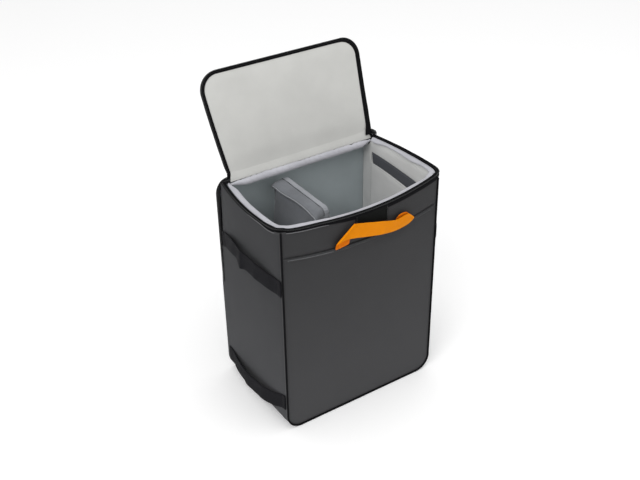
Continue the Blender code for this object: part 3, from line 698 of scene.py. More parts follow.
# ---------------------------------------------------------- camera and stage
AZ, EL, ROLL = math.radians(-32.93182507326816), math.radians(32.466323807671024), math.radians(-0.9642388905631774)
back = Vector((math.sin(AZ) * math.cos(EL), -math.cos(AZ) * math.cos(EL), math.sin(EL)))
right = Vector((math.cos(AZ), math.sin(AZ), 0.0))
up = back.cross(right)
R_ = right * math.cos(ROLL) + up * math.sin(ROLL)
U_ = -right * math.sin(ROLL) + up * math.cos(ROLL)
cam = bpy.data.cameras.new("camera")
cam.sensor_width = 36.0
cam.lens = 961.0944709498282 / 640.0 * 36.0
cam.clip_start, cam.clip_end = 0.01, 100.0
cam_ob = bpy.data.objects.new("camera", cam)
bpy.context.scene.collection.objects.link(cam_ob)
pos = Vector((-0.750436, -1.137016, 1.140057))
cam_ob.matrix_world = Matrix(((R_.x, U_.x, back.x, pos.x), (R_.y, U_.y, back.y, pos.y),
                              (R_.z, U_.z, back.z, pos.z), (0, 0, 0, 1)))
bpy.context.scene.camera = cam_ob

world = bpy.data.worlds.new("studio")
bpy.context.scene.world = world
world.use_nodes = True
world.node_tree.nodes["Background"].inputs[0].default_value = (1.0, 1.0, 1.0, 1)
world.node_tree.nodes["Background"].inputs[1].default_value = 0.70

floor_mat = bpy.data.materials.new("floor_white")
floor_mat.use_nodes = True
fb = floor_mat.node_tree.nodes["Principled BSDF"]
fb.inputs["Base Color"].default_value = (0.97, 0.97, 0.97, 1)
fb.inputs["Roughness"].default_value = 0.9
fb.inputs["Specular IOR Level"].default_value = 0.1
fb.inputs["Emission Color"].default_value = (1, 1, 1, 1)
fb.inputs["Emission Strength"].default_value = 0.14
me = bpy.data.meshes.new("floor")
me.from_pydata([(-9, -9, 0), (9, -9, 0), (9, 9, 0), (-9, 9, 0)], [], [(0, 1, 2, 3)])
me.materials.append(floor_mat)
floor = bpy.data.objects.new("floor", me)
bpy.context.scene.collection.objects.link(floor)
floor.location.z = -0.0006


def area_light(name, loc, target, size, power, colour=(1, 1, 1)):
    l = bpy.data.lights.new(name, "AREA")
    l.shape = "RECTANGLE"
    l.size, l.size_y = size
    l.energy = power
    l.color = colour
    ob = bpy.data.objects.new(name, l)
    bpy.context.scene.collection.objects.link(ob)
    ob.location = loc
    ob.rotation_mode = "QUATERNION"
    ob.rotation_quaternion = (Vector(target) - Vector(loc)).to_track_quat("-Z", "Y")
    return ob


area_light("key", (-1.9, -1.2, 2.4), (0, 0, 0.25), (1.4, 1.4), 27.0)
area_light("top", (0.2, -0.3, 2.9), (0, 0, 0.3), (2.2, 2.2), 18.0)
area_light("fill", (1.6, -2.4, 1.1), (0, 0, 0.25), (1.8, 1.4), 6.5)
bpy.context.scene.view_settings.view_transform = "Standard"
bpy.context.scene.view_settings.look = "None"


# --------------------------------------------------------------- outer walls
WALL = SKIN + FOAM + 2 * GAP      # from the outer face to the lining's back


def half_width(z):
    """Half the front's width at a height, with its rounded bottom corners."""
    z = np.asarray(z, float)
    r = np.sqrt(np.maximum(0.0, BASE_R ** 2 - (BASE_R - np.minimum(z, BASE_R)) ** 2))
    return HW - BASE_R + r


def crown(e, rise, reach):
    """Swell of a padded surface at a distance e from its sewn edge."""
    return rise * (1 - np.exp(-np.maximum(e, 0.0) / reach))


def front_surface(s, z_nom, z_of, edge_top, proud, seed):
    """Outer face of a front panel over a grid of (share of half width, height)."""
    x = s[None, :] * half_width(z_nom)[:, None]
    z = z_of(x, z_nom[:, None] + 0 * x)
    bow = front_bow(x, z)
    corner = np.maximum(0.0, BASE_R - z)
    side = np.where(z < BASE_R, BASE_R - np.hypot(np.maximum(np.abs(x) - (HW - BASE_R), 0), corner),
                    HW - np.abs(x))
    e = np.minimum(side, np.minimum(z if edge_top is None else z, 1e3))
    y = -HD - bow + 1.0 - crown(e, proud + 1.0, 7.0)
    p = np.stack([x, y, z], 2)
    n1 = wave(p * [1, 0, 0.75], 70.0, seed).reshape(x.shape)
    n2 = wave(p * [1, 0, 0.6], 26.0, seed + 5).reshape(x.shape)
    fade = smooth(2.0, 30.0, e)
    p[:, :, 1] -= fade * (1.1 * n1 + 0.35 * n2)
    return p, e


# lower front: up to the hem that shows as a lip below the upper panel
cols = np.sin(np.linspace(-math.pi / 2, math.pi / 2, 91))
cols = 0.35 * cols + 0.65 * np.linspace(-1, 1, 91)
z_nom = np.concatenate([BASE_R * (1 - np.cos(np.linspace(0, math.pi / 2, 13))), np.linspace(BASE_R, 344.0, 80)[1:]])


def lower_z(x, z):
    return z - 8.0 * front_p(x) * (z / 344.0) ** 3


p, e = front_surface(cols, z_nom, lower_z, None, 1.1, 3.1)
top_share = smooth(300.0, 344.0, z_nom)[:, None]
p[:, :, 1] += 0.9 * smooth(318.0, 336.0, z_nom)[:, None] - 1.3 * smooth(339.5, 343.0, z_nom)[:, None] * smooth(0, 14, HW - np.abs(p[:, :, 0]))
puck = wave(p * [1.0, 0, 0.12], 13.0, 9.0).reshape(p.shape[:2])
p[:, :, 1] -= 0.35 * puck * smooth(300.0, 336.0, z_nom)[:, None] * smooth(4, 20, HW - np.abs(p[:, :, 0]))
inner = p.copy()
inner[:, :, 1] = -HD - front_bow(p[:, :, 0], p[:, :, 2]) + WALL
front_lower_grid = p
front_lower = shell("front_wall_lower", p, inner, M_FRONT)
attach(front_lower, "box")
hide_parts("front_panel_lower", "front_foam")

def corner_dip(u):
    """The cloth's top edge is lower at the left corner, under the zip band."""
    return 3.4 * (1 - smooth(16.0, 42.0, u))


# upper front: tucked behind the hem, rising to the rim
v = np.linspace(0, 1, 26)
x = cols[None, :] * HW + 0 * v[:, None]
z0 = seam_z(x) - 4.0
z1 = WALL_TOP + 0.4 - front_sag(x) - corner_dip(x + HW)
z = z0 + (z1 - z0) * v[:, None]
edge = np.minimum(np.minimum(HW - np.abs(x), (z1 - z)), np.maximum(z - seam_z(x), 0) + 3)
y = -HD - front_bow(x, z) + 1.2 - crown(edge, 1.9, 6.0)
y += 1.6 * (1 - smooth(0.0, 7.0, z - z0 - 3.0))
p = np.stack([x, y, z], 2)
n1 = wave(p * [1, 0, 0.5], 34.0, 1.7).reshape(x.shape)
n2 = wave(p * [1, 0, 0.3], 14.0, 6.2).reshape(x.shape)
p[:, :, 1] -= smooth(1, 14, edge) * (0.7 * n1 + 0.25 * n2) + 0.22 * n2 * (1 - smooth(0, 12, z1 - z))
front_upper_grid = p
inner = p.copy()
inner[:, :, 1] = np.maximum(p[:, :, 1] + 0.8, -HD - front_bow(x, z) + SKIN + 0.2)
low_in = -HD - front_bow(x, z) + WALL
k = smooth(0, 1, (FOAM_TOP - front_sag(x) - z) / 2.0)
inner[:, :, 1] = inner[:, :, 1] * (1 - k) + low_in * k
front_upper = shell("front_wall_upper", p, inner, M_FRONT)
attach(front_upper, "box")
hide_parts("front_panel_upper")

# hem of the lower panel and its topstitch
hx = np.linspace(-139.0, 143.0, 120)
hz = seam_z(hx) - 1.0
hy = -HD - front_bow(hx, hz) - 0.9 - 0.25 * wave(np.stack([hx, 0 * hx, 0 * hx], 1), 17.0, 2.0)
taper = np.sin(np.clip((hx - hx[0]) / 6, 0, 1) * math.pi / 2) * np.sin(np.clip((hx[-1] - hx) / 6, 0, 1) * math.pi / 2)
hem = tube("front_hem", np.stack([hx, hy, hz], 1), 0.3 + 0.85 * taper, M_SIDE, n=8, up=(0, 0, 1), squash=1.3)
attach(hem, "box")
# the hem's lip, in the welt cloth painted lighter as a highlight
lx = np.linspace(-141.0, -63.0, 60)
lz = seam_z(lx) - 2.5 + 0.5 * (1 - smooth(-139.0, -100.0, lx))
ly = -HD - front_bow(lx, lz) - 1.95
u = np.linspace(0, 1, 60)
lip = tube("front_hem_lip", np.stack([lx, ly, lz], 1), 0.12 + 0.44 * np.sqrt(np.clip(1 - (2 * u - 1) ** 8, 0, 1)), M_WELT_HIGHLIGHT, n=8)
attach(lip, "box")
hz2 = seam_z(hx) - 5.0
row = int(np.argmin(np.abs(z_nom - 339)))
hy2 = np.interp(hx, front_lower_grid[row, :, 0], front_lower_grid[row, :, 1])
st = sew("front_hem_stitch", np.stack([hx, hy2, hz2], 1), np.tile([0, -1, 0], (len(hx), 1)), M_THREAD_GREY)
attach(st, "box")


# side walls, carried round under the base
def skin_top(sign, y):
    y = np.asarray(y, float)
    return np.where(y <= HINGE_Y, WALL_TOP - side_sag(sign, y), top_slope(y) - top_round(y) - GAP)


def band_line(z):
    """Where the side cloth ends and the black zip band begins, at a height."""
    return np.interp(z, [0, 190, 233, 262, 282, 322, 351, 372, 390],
                     [99.6, 99.6, 96.0, 91.3, 88.0, 85.0, 83.0, 81.4, 79.5])


ARC = BASE_R * math.pi / 2


def side_wall(side, sign, flap):
    ny = 56
    yy = np.concatenate([-HD + 0.4 + 100 * (1 - np.cos(np.linspace(0, 1.02, 14))) * 0.28,
                         np.linspace(-82.0, 74.0, 34), np.linspace(77.0, 91.7, 8)])
    yy = np.unique(np.round(yy, 3))
    ny = len(yy)
    t = (yy - yy[0]) / (yy[-1] - yy[0])
    rows_z = np.concatenate([np.linspace(1, 0, 78) ** 1.0, []])
    g, gi = [], []
    for f in rows_z:                       # from the rim down to the round
        z = BASE_R + f * (skin_top(sign, yy) - BASE_R)
        if flap:
            ye = np.minimum(band_line(z[-1]), 99.6)
        else:
            ye = min(91.7, float(band_line(z[-1])))
        y = yy[0] + t * (ye - yy[0])
        dip = corner_dip(y + HD) if sign < 0 else 0.0
        z = BASE_R + f * (skin_top(sign, np.minimum(y, 91.7)) - dip - BASE_R)
        e = np.minimum(y - yy[0], np.minimum(ye - y, np.maximum(skin_top(sign, y) - z, 0) + 1.0))
        off = side_bow(sign, y, z) - 0.8 + crown(e, 1.9, 6.0)
        off = np.where(y > 90.5, np.maximum(off, 0.95), off)
        pt = np.stack([0 * y, y, z], 1)
        w = 1.0 * wave(pt * [0, 1, 0.7] + [sign * 900, 0, 0], 62.0, 4.0) + 0.3 * wave(pt * [0, 1, 0.6], 23.0, 8.0 + sign)
        off = off + smooth(1.0, 22.0, e) * w
        x_out = HW + off
        x_in = HW + side_bow(sign, y, z) - WALL
        thin = smooth(0, 1, (y - 90.0) / 1.5)
        near_top = smooth(0, 1, (z - (FOAM_TOP - side_sag(sign, y) - 2)) / 2.0)
        thin = np.maximum(thin, near_top)
        x_in = x_in * (1 - thin) + (x_out - 1.0) * thin
        g.append(np.stack([sign * x_out, y, z], 1))
        gi.append(np.stack([sign * x_in, y, z], 1))
    for k in range(1, 13):                 # round the bottom edge
        a = math.radians(90 - 7.5 * k)
        # the flap runs out towards the base
        ye = 91.7 + 7.9 * (1 - float(smooth(0.3, 1.0, k / 12.0))) if flap else 91.7
        y = yy[0] + t * (ye - yy[0])
        e = np.minimum(y - yy[0], ye - y)
        pad = (crown(e, 1.6, 6.0) - 0.8) * math.sin(a) ** 0.5 if a > 0 else 0 * y
        ro = BASE_R + np.where(y > 90.5, 0.4 * math.sin(a), pad)
        ri = np.full(ny, BASE_R - WALL)
        thin = smooth(0, 1, (y - 90.0) / 1.5)
        ri = ri * (1 - thin) + (ro - 1.0) * thin
        g.append(np.stack([sign * (HW - BASE_R + ro * math.sin(a)), y, BASE_R - ro * math.cos(a)], 1))
        gi.append(np.stack([sign * (HW - BASE_R + ri * math.sin(a)), y, BASE_R - ri * math.cos(a)], 1))
    g, gi = np.array(g), np.array(gi)
    g[:, :, 2] = np.maximum(g[:, :, 2], 0.0)
    gi[:, :, 2] = np.maximum(gi[:, :, 2], 0.8)
    ob = shell(side + "_wall", g, gi, M_SIDE)
    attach(ob, "box")
    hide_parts(side + "_panel", side + "_foam", "rear_gusset_" + side)
    return g


left_grid = side_wall("left", -1.0, True)
right_grid = side_wall("right", 1.0, False)

# base between the two rounded edges
bx = np.linspace(-(HW - BASE_R), HW - BASE_R, 40)
by = np.linspace(-HD + 0.6, 91.7, 30)
gx, gy = np.meshgrid(bx, by)
ex = np.minimum(gy - by[0], by[-1] - gy)
gz = 0.6 * np.exp(-ex / 2.5) + 0.15 * (wave(np.stack([gx, gy, 0 * gx], 2), 30.0, 2.2).reshape(gx.shape) + 0.6)
gz = np.maximum(gz, 0.0)
base_wall = shell("base_wall", np.stack([gx, gy, gz], 2), np.stack([gx, gy, 0 * gz + WALL], 2), M_BASE)
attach(base_wall, "box")
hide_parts("bottom_panel", "bottom_foam")


# -------------------------------------------------------------- rim and collar
RIM_RIGHT = 8.0


def rim_plan(rear, step=2.0):
    """Dense plan of the rim: x, y and the outward normal, left rear to right rear."""
    n = int((rear + HD - RIM_R) / step)
    left = [(-HW, y, -1.0, 0.0) for y in np.linspace(rear, -HD + RIM_R, n)]
    cx, cy = HW - RIM_R, -HD + RIM_R
    k = int(RIM_R * math.pi / 2 / step)
    for i in range(1, k):
        a = math.pi / 2 * i / k
        left.append((-cx - RIM_R * math.cos(a), cy - RIM_R * math.sin(a), -math.cos(a), -math.sin(a)))
    m = int(cx / step)
    pts = left + [(x, -HD, 0.0, -1.0) for x in np.linspace(-cx, 0.0, m)]
    r = RIM_RIGHT                                  # the right corner is a tight one
    cx, cy = HW - r, -HD + r
    pts += [(x, -HD, 0.0, -1.0) for x in np.linspace(0.0, cx, int(cx / step))[1:]]
    k = max(6, int(r * math.pi / 2 / step))
    for i in range(1, k):
        a = math.pi / 2 * (1 - i / k)
        pts.append((cx + r * math.cos(a), cy - r * math.sin(a), math.cos(a), -math.sin(a)))
    pts += [(HW, y, 1.0, 0.0) for y in np.linspace(cy, rear, int((rear - cy) / step))]
    return np.array(pts)


def rim_at(P, d, z):
    """Point on the rim: depth d in from the outer edge, height z before the sag."""
    x, y, nx, ny = P.T
    wf = np.clip((-y - HD + RIM_R) / RIM_R, 0, 1)
    ws = np.clip((np.abs(x) - HW + RIM_R) / RIM_R, 0, 1)
    side = np.where(x < 0, -1.0, 1.0)
    drop = np.maximum(front_sag(x) * wf, side_sag(side, y) * ws)
    dip = 2.4 * (1 - smooth(26.0, 74.0, np.maximum(x + HW, y + HD)))      # the left corner sits lower
    dip = dip + 1.5 * np.exp(-((x + HW) ** 2 + (y + HD) ** 2) / 15.0 ** 2)
    zz = z - drop - dip
    dx = side * side_bow(side, y, zz) * ws
    dy = -front_bow(x, zz) * wf
    return np.stack([x + dx - nx * d, y + dy - ny * d, zz], 1)


P = rim_plan(HINGE_Y - 0.8, 2.0)
arc_len = np.concatenate([[0], np.cumsum(np.hypot(np.diff(P[:, 0]), np.diff(P[:, 1])))])
prof = [(0.6, 389.8), (-0.9, 390.0), (-1.25, 390.8), (-1.1, 393.4), (-0.9, 396.0), (0.0, 397.2), (1.3, 397.7), (2.7, 397.5),
        (3.5, 396.9), (4.3, 397.3), (5.6, 397.5), (6.8, 397.1), (7.2, 396.2), (6.9, 395.0), (4.0, 394.5)]
wob = 0.25 * wave(np.stack([arc_len, 0 * arc_len, 0 * arc_len], 1), 24.0, 11.0)
at_right = smooth(0.85, 0.98, P[:, 0] / HW) * smooth(-94.0, -62.0, P[:, 1])
# the band's outer flank is deepest at the left corner and runs out along the left side
left_run = (P[:, 0] < -HW + 12.0) * smooth(-76.0, -48.0, P[:, 1])
front_left = (P[:, 1] < -HD + 12.0) * (1 - smooth(60.0, 130.0, P[:, 0] + HW)) * smooth(-146.0, -128.0, P[:, 0])
rise = 2.6 * (1 - smooth(60.0, 130.0, P[:, 0] + HW)) + 3.1 * left_run + 1.4 * front_left
rings = []
for d, z in prof:
    zz = z + rise * min(1.0, max(0.0, (396.6 - z) / 6.8)) * (d < 1.0) + wob + 0.9 * at_right * (z > 393)
    rings.append(rim_at(P, d * (1 - 0.26 * left_run * (d > 0)) + 1.6 * min(d, 0.0) * at_right, zz))
rings = np.stack(rings, 1)
rim_tape = loft("rim_zip_band", rings, M_BIND)
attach(rim_tape, "box")
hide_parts("rim_zip_tape")
edge = rim_at(P, np.full(len(P), -0.1), 397.35 + wob)
teeth = zip_teeth("rim_zip_coil", edge[1:-1], np.tile([0, 0, 1.0], (len(P) - 2, 1)), M_TOOTH, pitch=1.6, width=2.2)
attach(teeth, "box")
# a welt where the band meets the cloth, on the left and part of the front, painted lighter as a highlight
k = [i for i in range(len(P)) if P[i, 0] < -70.0 and P[i, 1] < -14.0]
welt_line = rim_at(P[k], np.full(len(k), -0.9), 389.3 + rise[k] + wob[k])
u = np.linspace(0, 1, len(k))
welt = tube("rim_welt", welt_line, 0.3 + 0.7 * np.sqrt(np.clip(1 - np.abs(2 * u - 1) ** 3, 0, 1)), M_WELT_HIGHLIGHT, n=8)
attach(welt, "box")
seamline = rim_at(P, np.full(len(P), 3.55), 397.05 + wob)
st = sew("rim_zip_stitch", seamline[2:-2], np.tile([0, 0, 1.0], (len(P) - 4, 1)), M_THREAD, pitch=2.8)
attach(st, "box")

# cloth web between the zip, which goes round the corner, and the sharp corner
for side, sign, radius in (("left", -1.0, RIM_R), ("right", 1.0, RIM_RIGHT)):
    n = 17
    aa = np.linspace(0, math.pi / 2, n)
    cx, cy = HW - radius, -HD + radius
    plan = np.array([(sign * (cx + radius * math.cos(a)), cy - radius * math.sin(a),
                      sign * math.cos(a), -math.sin(a)) for a in aa])
    low_ = 3.7 if sign < 0 else 0.0
    arc = rim_at(plan, np.full(n, 0.6), 394.3 - 0.5 * low_)
    out = []
    for a in aa:
        first = a < math.pi / 4
        ox, oy = (sign * HW, cy - radius * math.tan(a)) if first else (sign * (cx + radius / math.tan(a)), -HD)
        oy = max(oy, -HD)
        oz = WALL_TOP - (float(side_sag(sign, oy)) if first else float(front_sag(ox)))
        oz -= 0.92 * low_
        out.append((ox + (sign * float(side_bow(sign, oy, oz)) if first else 0.0) - sign * 0.5,
                    oy - (0.0 if first else float(front_bow(ox, oz))) + 0.5, oz))
    out = np.array(out)
    g = []
    for t in np.linspace(0, 1, 8):
        row = arc * (1 - t) + out * t
        row[:, 2] += 0.5 * (radius / RIM_R) * math.sin(math.pi * t) * np.sin(np.linspace(0, math.pi, n)) - 0.7 * t
        g.append(row)
    g = np.array(g)
    low = g.copy()
    low[:, :, 2] -= 1.6
    web = shell(side + "_corner_web", g, low, M_SIDE)
    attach(web, "box")

# collar: a thin, wide, ribbed flap inside the zip, between the zip's inner edge
# and a free edge further in
def collar_plans(step):
    """Matching plans of the collar's outer and inner edge, left rear to right rear."""
    out, inn = [], []
    rear = HINGE_Y - 10.0
    for i in range(1, 13):                         # short turn at the left rear
        a = math.radians(7.5 * (12 - i))
        q = (-(HW - 9.0) - 9.0 * math.cos(a), rear - 0.0 + 9.0 * math.sin(a), -math.cos(a), math.sin(a))
        out.append(q)
        inn.append(q)
    for y in np.linspace(rear, -HD + RIM_R, int((rear + HD - RIM_R) / step))[1:]:
        out.append((-HW, y, -1.0, 0.0))
        inn.append(out[-1])
    cx, cy = HW - RIM_R, -HD + RIM_R
    k = int(RIM_R * math.pi / 2 / step)
    for i in range(1, k):
        a = math.pi / 2 * i / k
        out.append((-cx - RIM_R * math.cos(a), cy - RIM_R * math.sin(a), -math.cos(a), -math.sin(a)))
        inn.append(out[-1])
    for x in np.linspace(-cx, cx, int(2 * cx / step)):
        out.append((x, -HD, 0.0, -1.0))
        inn.append(out[-1])
    for i in range(1, k):
        a = math.pi / 2 * (1 - i / k)
        inn.append((cx + RIM_R * math.cos(a), cy - RIM_R * math.sin(a), math.cos(a), -math.sin(a)))
        span_ = RIM_R - 7.0                        # the outer edge keeps to the tight corner
        c_, s_ = math.cos(a), math.sin(a)
        m_ = span_ / max(c_, s_)
        px, py = cx + m_ * c_, cy - m_ * s_
        if abs(c_ - s_) < 0.07:
            out.append((px + 4.9, py - 4.9, 0.7071, -0.7071))
        elif c_ > s_:
            out.append((HW, py, 1.0, 0.0))
        else:
            out.append((px, -HD, 0.0, -1.0))
    for y in np.linspace(cy, rear, int((rear - cy) / step)):
        out.append((HW, y, 1.0, 0.0))
        inn.append(out[-1])
    for i in range(1, 13):                         # and at the right rear
        a = math.radians(7.5 * i)
        q = ((HW - 9.0) + 9.0 * math.cos(a), rear + 9.0 * math.sin(a), math.cos(a), math.sin(a))
        out.append(q)
        inn.append(q)
    return np.array(out), np.array(inn)


PO, PI_ = collar_plans(0.55)
mid_line = 0.5 * (rim_at(PO, 7.0, 394.0) + rim_at(PI_, 20.0, 394.0))
arc_len = np.concatenate([[0], np.cumsum(np.linalg.norm(np.diff(mid_line, axis=0), axis=1))])
total = arc_len[-1]
line = np.stack([arc_len, 0 * arc_len, 0 * arc_len], 1)
rib = 0.15 * np.sin(2 * math.pi * arc_len / 2.3)
w1, w2, w3 = wave(line, 34.0, 3.0), wave(line, 12.0, 5.0), wave(line, 19.0, 9.0)
side_x = mid_line[:, 0] / HW
loose = smooth(0.80, 0.86, side_x) * smooth(-95.0, -70.0, mid_line[:, 1])      # the right run hangs looser
ends = smooth(0, 22.0, arc_len) * smooth(0, 22.0, total - arc_len)
narrow = np.where(side_x > 0, 0.8, 0.55) + np.where(side_x > 0, 0.2, 0.45) * ends
at_front = smooth(-72.0, -92.0, mid_line[:, 1])
turn = smooth(-62.0, -82.0, mid_line[:, 1]) * (1 - smooth(14.0, 40.0, mid_line[:, 0] + HW))
front_left = smooth(-58.0, -84.0, mid_line[:, 1]) * (1 - smooth(30.0, 100.0, mid_line[:, 0] + HW))
right_reach = np.interp(mid_line[:, 1], [-92, -75, -54, -36, 0, 30, 40, 55, 66],
                        [15.5, 13.6, 12.0, 14.4, 13.2, 11.4, 12.0, 15.5, 16.0])
reach_at = np.where(side_x > 0, right_reach, 19.5) * (1 - at_front) + (18.8 - 4.0 * smooth(0.66, 0.95, side_x)) * at_front
prof = [(0.0, 395.9, 0.3), (0.05, 396.7, 0.6), (0.14, 397.0, 1), (0.3, 396.8, 1), (0.48, 396.2, 1), (0.66, 395.2, 1),
        (0.82, 394.0, 1), (0.93, 392.7, 1), (0.99, 391.2, 1), (1.0, 390.2, 1), (0.96, 389.5, .8), (0.85, 390.0, .5),
        (0.66, 391.6, 0), (0.45, 392.8, 0), (0.2, 393.5, 0), (0.02, 394.2, 0)]
rings = []
for u, z, f in prof:
    reach = (reach_at - 3.4 * turn + (0.7 * w1 + 0.5 * w2) * (1 - 0.7 * turn) + 0.9 * loose * w3) * narrow + 7.0 * (1 - narrow)
    d = 6.8 + (reach - 6.8) * u
    hang = loose * (1.2 + 1.0 * np.sin(arc_len / 15.0) + 1.2 * w3) * u ** 1.5
    puff = 0.35 * w2 * math.sin(math.pi * min(u, 1.0)) * f
    zz = z + (396.9 - z) * 0.5 * loose - 0.5 * hang + f * rib + puff - 1.0 * (1 - narrow) * u
    zz = zz + (3.2 + 1.2 * turn) * front_left * min(u, 1.0) ** 1.3
    o, n_ = rim_at(PO, d, zz), rim_at(PI_, d, zz)
    # across the tight corner the two plans part, so the rows run from one to the other
    o0, n1 = rim_at(PO, 6.8, zz), rim_at(PI_, reach, zz)
    blend_row = o0 + (n1 - o0) * u
    blend_row[:, 2] = 0.5 * (o[:, 2] + n_[:, 2])
    rings.append(blend_row)
rings = np.stack(rings, 1)
# the free edge cuts the left corner in an easy curve
k = np.exp(-0.5 * (np.arange(-60, 61) / 21.0) ** 2)
eased = np.stack([np.convolve(np.pad(rings[:, i, c], 60, mode="edge"), k / k.sum(), mode="valid")
                  for i in range(rings.shape[1]) for c in range(3)], 1).reshape(rings.shape)
where = smooth(-48.0, -72.0, mid_line[:, 1]) * (1 - smooth(22.0, 52.0, mid_line[:, 0] + HW))
rings = rings + (eased - rings) * (where[:, None] * np.array([min(q[0], 1.0) for q in prof])[None, :])[:, :, None]
collar = loft("rim_collar_roll", rings, M_COLLAR)
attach(collar, "box")
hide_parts("rim_collar")
# a line of stitches where the collar is sewn along the zip
row = rim_at(PO, 9.2, 397.0 - 0.02 * arc_len * 0)
st = sew("collar_stitch", row[30:-30:4], np.tile([0, 0, 1.0], (len(row[30:-30:4]), 1)), M_THREAD_LIGHT, pitch=3.0, r=0.22)
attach(st, "box")

# gathered roll under the lid hinge
hx = np.linspace(-137.5, 139.0, 520)
line = np.stack([hx, 0 * hx, 0 * hx], 1)
w1, w2 = wave(line, 26.0, 2.0), wave(line, 9.0, 8.0)
ends = smooth(0, 30, hx - hx[0]) * smooth(0, 22, hx[-1] - hx)
ang = np.linspace(0, 2 * math.pi, 21)[:-1]
rings = []
for a in ang:
    ry = 5.0 + 0.5 * w1 + 0.35 * w2
    rz = 6.0 + 0.6 * w2 + 0.7 * wave(line + [0, a * 20, 0], 40.0, 3.0)
    cy = 69.6 + 1.6 * (1 - ends) - 0.5 * w1
    cz = 388.8 + 1.6 * (1 - ends) + 0.5 * w1 + 0.25 * w2
    crease = 0.3 * np.sin(hx / 1.9 + 5 * w1 + a * 1.5) * (0.3 + 0.7 * max(0.0, math.sin(a)))
    shrink = 0.34 + 0.66 * ends
    rings.append(np.stack([hx, cy - shrink * (ry + crease) * math.cos(a),
                           cz + shrink * (rz + crease) * math.sin(a)], 1))
roll = loft("hinge_roll", np.stack(rings, 1), M_COLLAR)
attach(roll, "box")

# piping down the front's edges
pts = []
ins, py = 1.2, -HD - 0.9
for z in np.linspace(391.0, BASE_R, 90):
    pts.append((-(HW - ins), py, z))
for k in range(1, 19):
    a = math.radians(5 * k)
    pts.append((-(HW - BASE_R + (BASE_R - ins) * math.cos(a)), py, BASE_R - (BASE_R - ins) * math.sin(a)))
for x in np.linspace(-118.0, 0.0, 30):
    pts.append((x, py, ins))
pts = pts + [(-x, y, z) for x, y, z in reversed(pts[:-1])]
pts = np.array(pts)
pts[:, 1] += 0.15 * wave(pts, 20.0, 1.0)
pipe = tube("front_piping_cord", pts, 1.55, M_BIND, n=10, up=(0, -1, 0))
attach(pipe, "box")
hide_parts("front_piping")

# ------------------------------------------------------------ bare label patch
lx = np.linspace(-24.0, 38.0, 40)
lv = np.linspace(0, 1, 16)
ztop = WALL_TOP - 0.4 - front_sag(lx)
gz = 356.0 + (ztop[None, :] - 356.0) * lv[:, None]
gx = lx[None, :] + 0 * gz
gy = -HD - front_bow(gx, gz) - 1.5 - 0.35 * wave(np.stack([gx, 0 * gx, gz], 2), 22.0, 4.0).reshape(gx.shape)
e = np.minimum(np.minimum(gx - lx[0], lx[-1] - gx), gz - 356.0)
gy = gy + 0.35 * np.exp(-e / 0.5)
g = np.stack([gx, gy, gz], 2)
gi = g + [0, 0.9, 0]
label = shell("label_patch_blank", g, gi, M_LABEL)
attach(label, "box")
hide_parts("label_patch")
lb = [(0, c) for c in range(1, 39)]
edge = np.concatenate([g[::-1, 1][:-1], g[1, 1:-1], g[1:, -2]])
edge[:, 1] -= 0.05
st = sew("label_stitch", edge, np.tile([0, -1.0, 0], (len(edge), 1)), M_THREAD_GREY, pitch=2.6, length=1.7, r=0.22)
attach(st, "box")

# --------------------------------------------------------------- side straps
UPPER = [(-100.6, 289.6), (-92.0, 290.2), (-84.0, 290.8), (-65.0, 292.2), (-38.0, 294.6), (-12.0, 295.4),
         (6.0, 296.2), (28.0, 299.4), (50.0, 296.8), (72.0, 290.6), (84.0, 287.5)]
LOWER = [(-99.0, 60.0), (-92.0, 58.6), (-84.0, 56.0), (-65.0, 48.6), (-35.0, 41.6), (-5.0, 38.0), (20.0, 37.0),
         (32.0, 37.4), (55.0, 38.6), (76.0, 40.4), (91.0, 41.6)]
UP_LIFT = [1.6, 1.7, 2.3, 5.2, 7.2, 8.2, 8.8, 8.2, 5.4, 2.4, 1.6]
LO_LIFT = [1.6, 1.7, 2.2, 5.6, 8.6, 9.8, 9.6, 9.0, 6.4, 2.6, 1.7]


def side_strap(name, node, sign, stations, lifts):
    rows = []
    for (y, zc), lift in zip(stations, lifts):
        zl, zh = zc - 15.0, zc + 15.0
        x0 = HW + float(side_bow(sign, y, zh)) + lift
        lean = 0.35 * (lift - 1.6)                 # the lower edge leans out a little
        rows.append((sign * x0, y, zh, sign * (x0 + 0.3 * lean), y, zl))
    dense = spline(rows, 130)
    t = np.linspace(0, 1, 130)
    kink = np.exp(-((t - 0.585) / 0.04) ** 2) - 0.6 * np.exp(-((t - 0.68) / 0.05) ** 2)
    kink *= 1.0 if stations is UPPER else 0.4
    fold = np.exp(-((t - 0.40) / 0.03) ** 2)
    dense[:, 0] += sign * (1.2 * kink + 0.7 * fold)
    dense[:, 3] += sign * (2.6 * kink + 1.2 * fold)
    dense[:, 2] += 1.3 * kink + 0.5 * fold
    dense[:, 5] -= 3.0 * kink
    # round the bottom edge: keep the strap outside the curved wall
    for c in (0, 3):
        z = dense[:, c + 2]
        low = z < BASE_R
        ro = BASE_R + 1.7
        lim = HW - BASE_R + np.sqrt(np.maximum(0, ro ** 2 - (BASE_R - z) ** 2))
        liftv = np.abs(dense[:, c]) - HW
        dense[low, c] = sign * (lim[low] + np.maximum(0, liftv[low] - 1.6) * 0.9)
    ob, mid, n = ribbon(name, dense, 1.7, M_WEB, across=16, ripple=0.35, seed=3.0 + sign, cup=0.0)
    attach(ob, "box")
    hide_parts(node)
    out = mid[:, :, 0] * 0
    nn = np.where((n[:, :, 0] * sign)[:, :, None] > 0, n, -n)
    for i, (k, tag) in enumerate(((5, "front"), (11, "front_b"), (-8, "rear"))):
        row = mid[k, 1:-1] + nn[k, 1:-1] * 0.9
        s = sew(f"{name}_tack_{tag}", row, nn[k, 1:-1], M_THREAD, pitch=2.4, length=1.9, r=0.3)
        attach(s, "box")


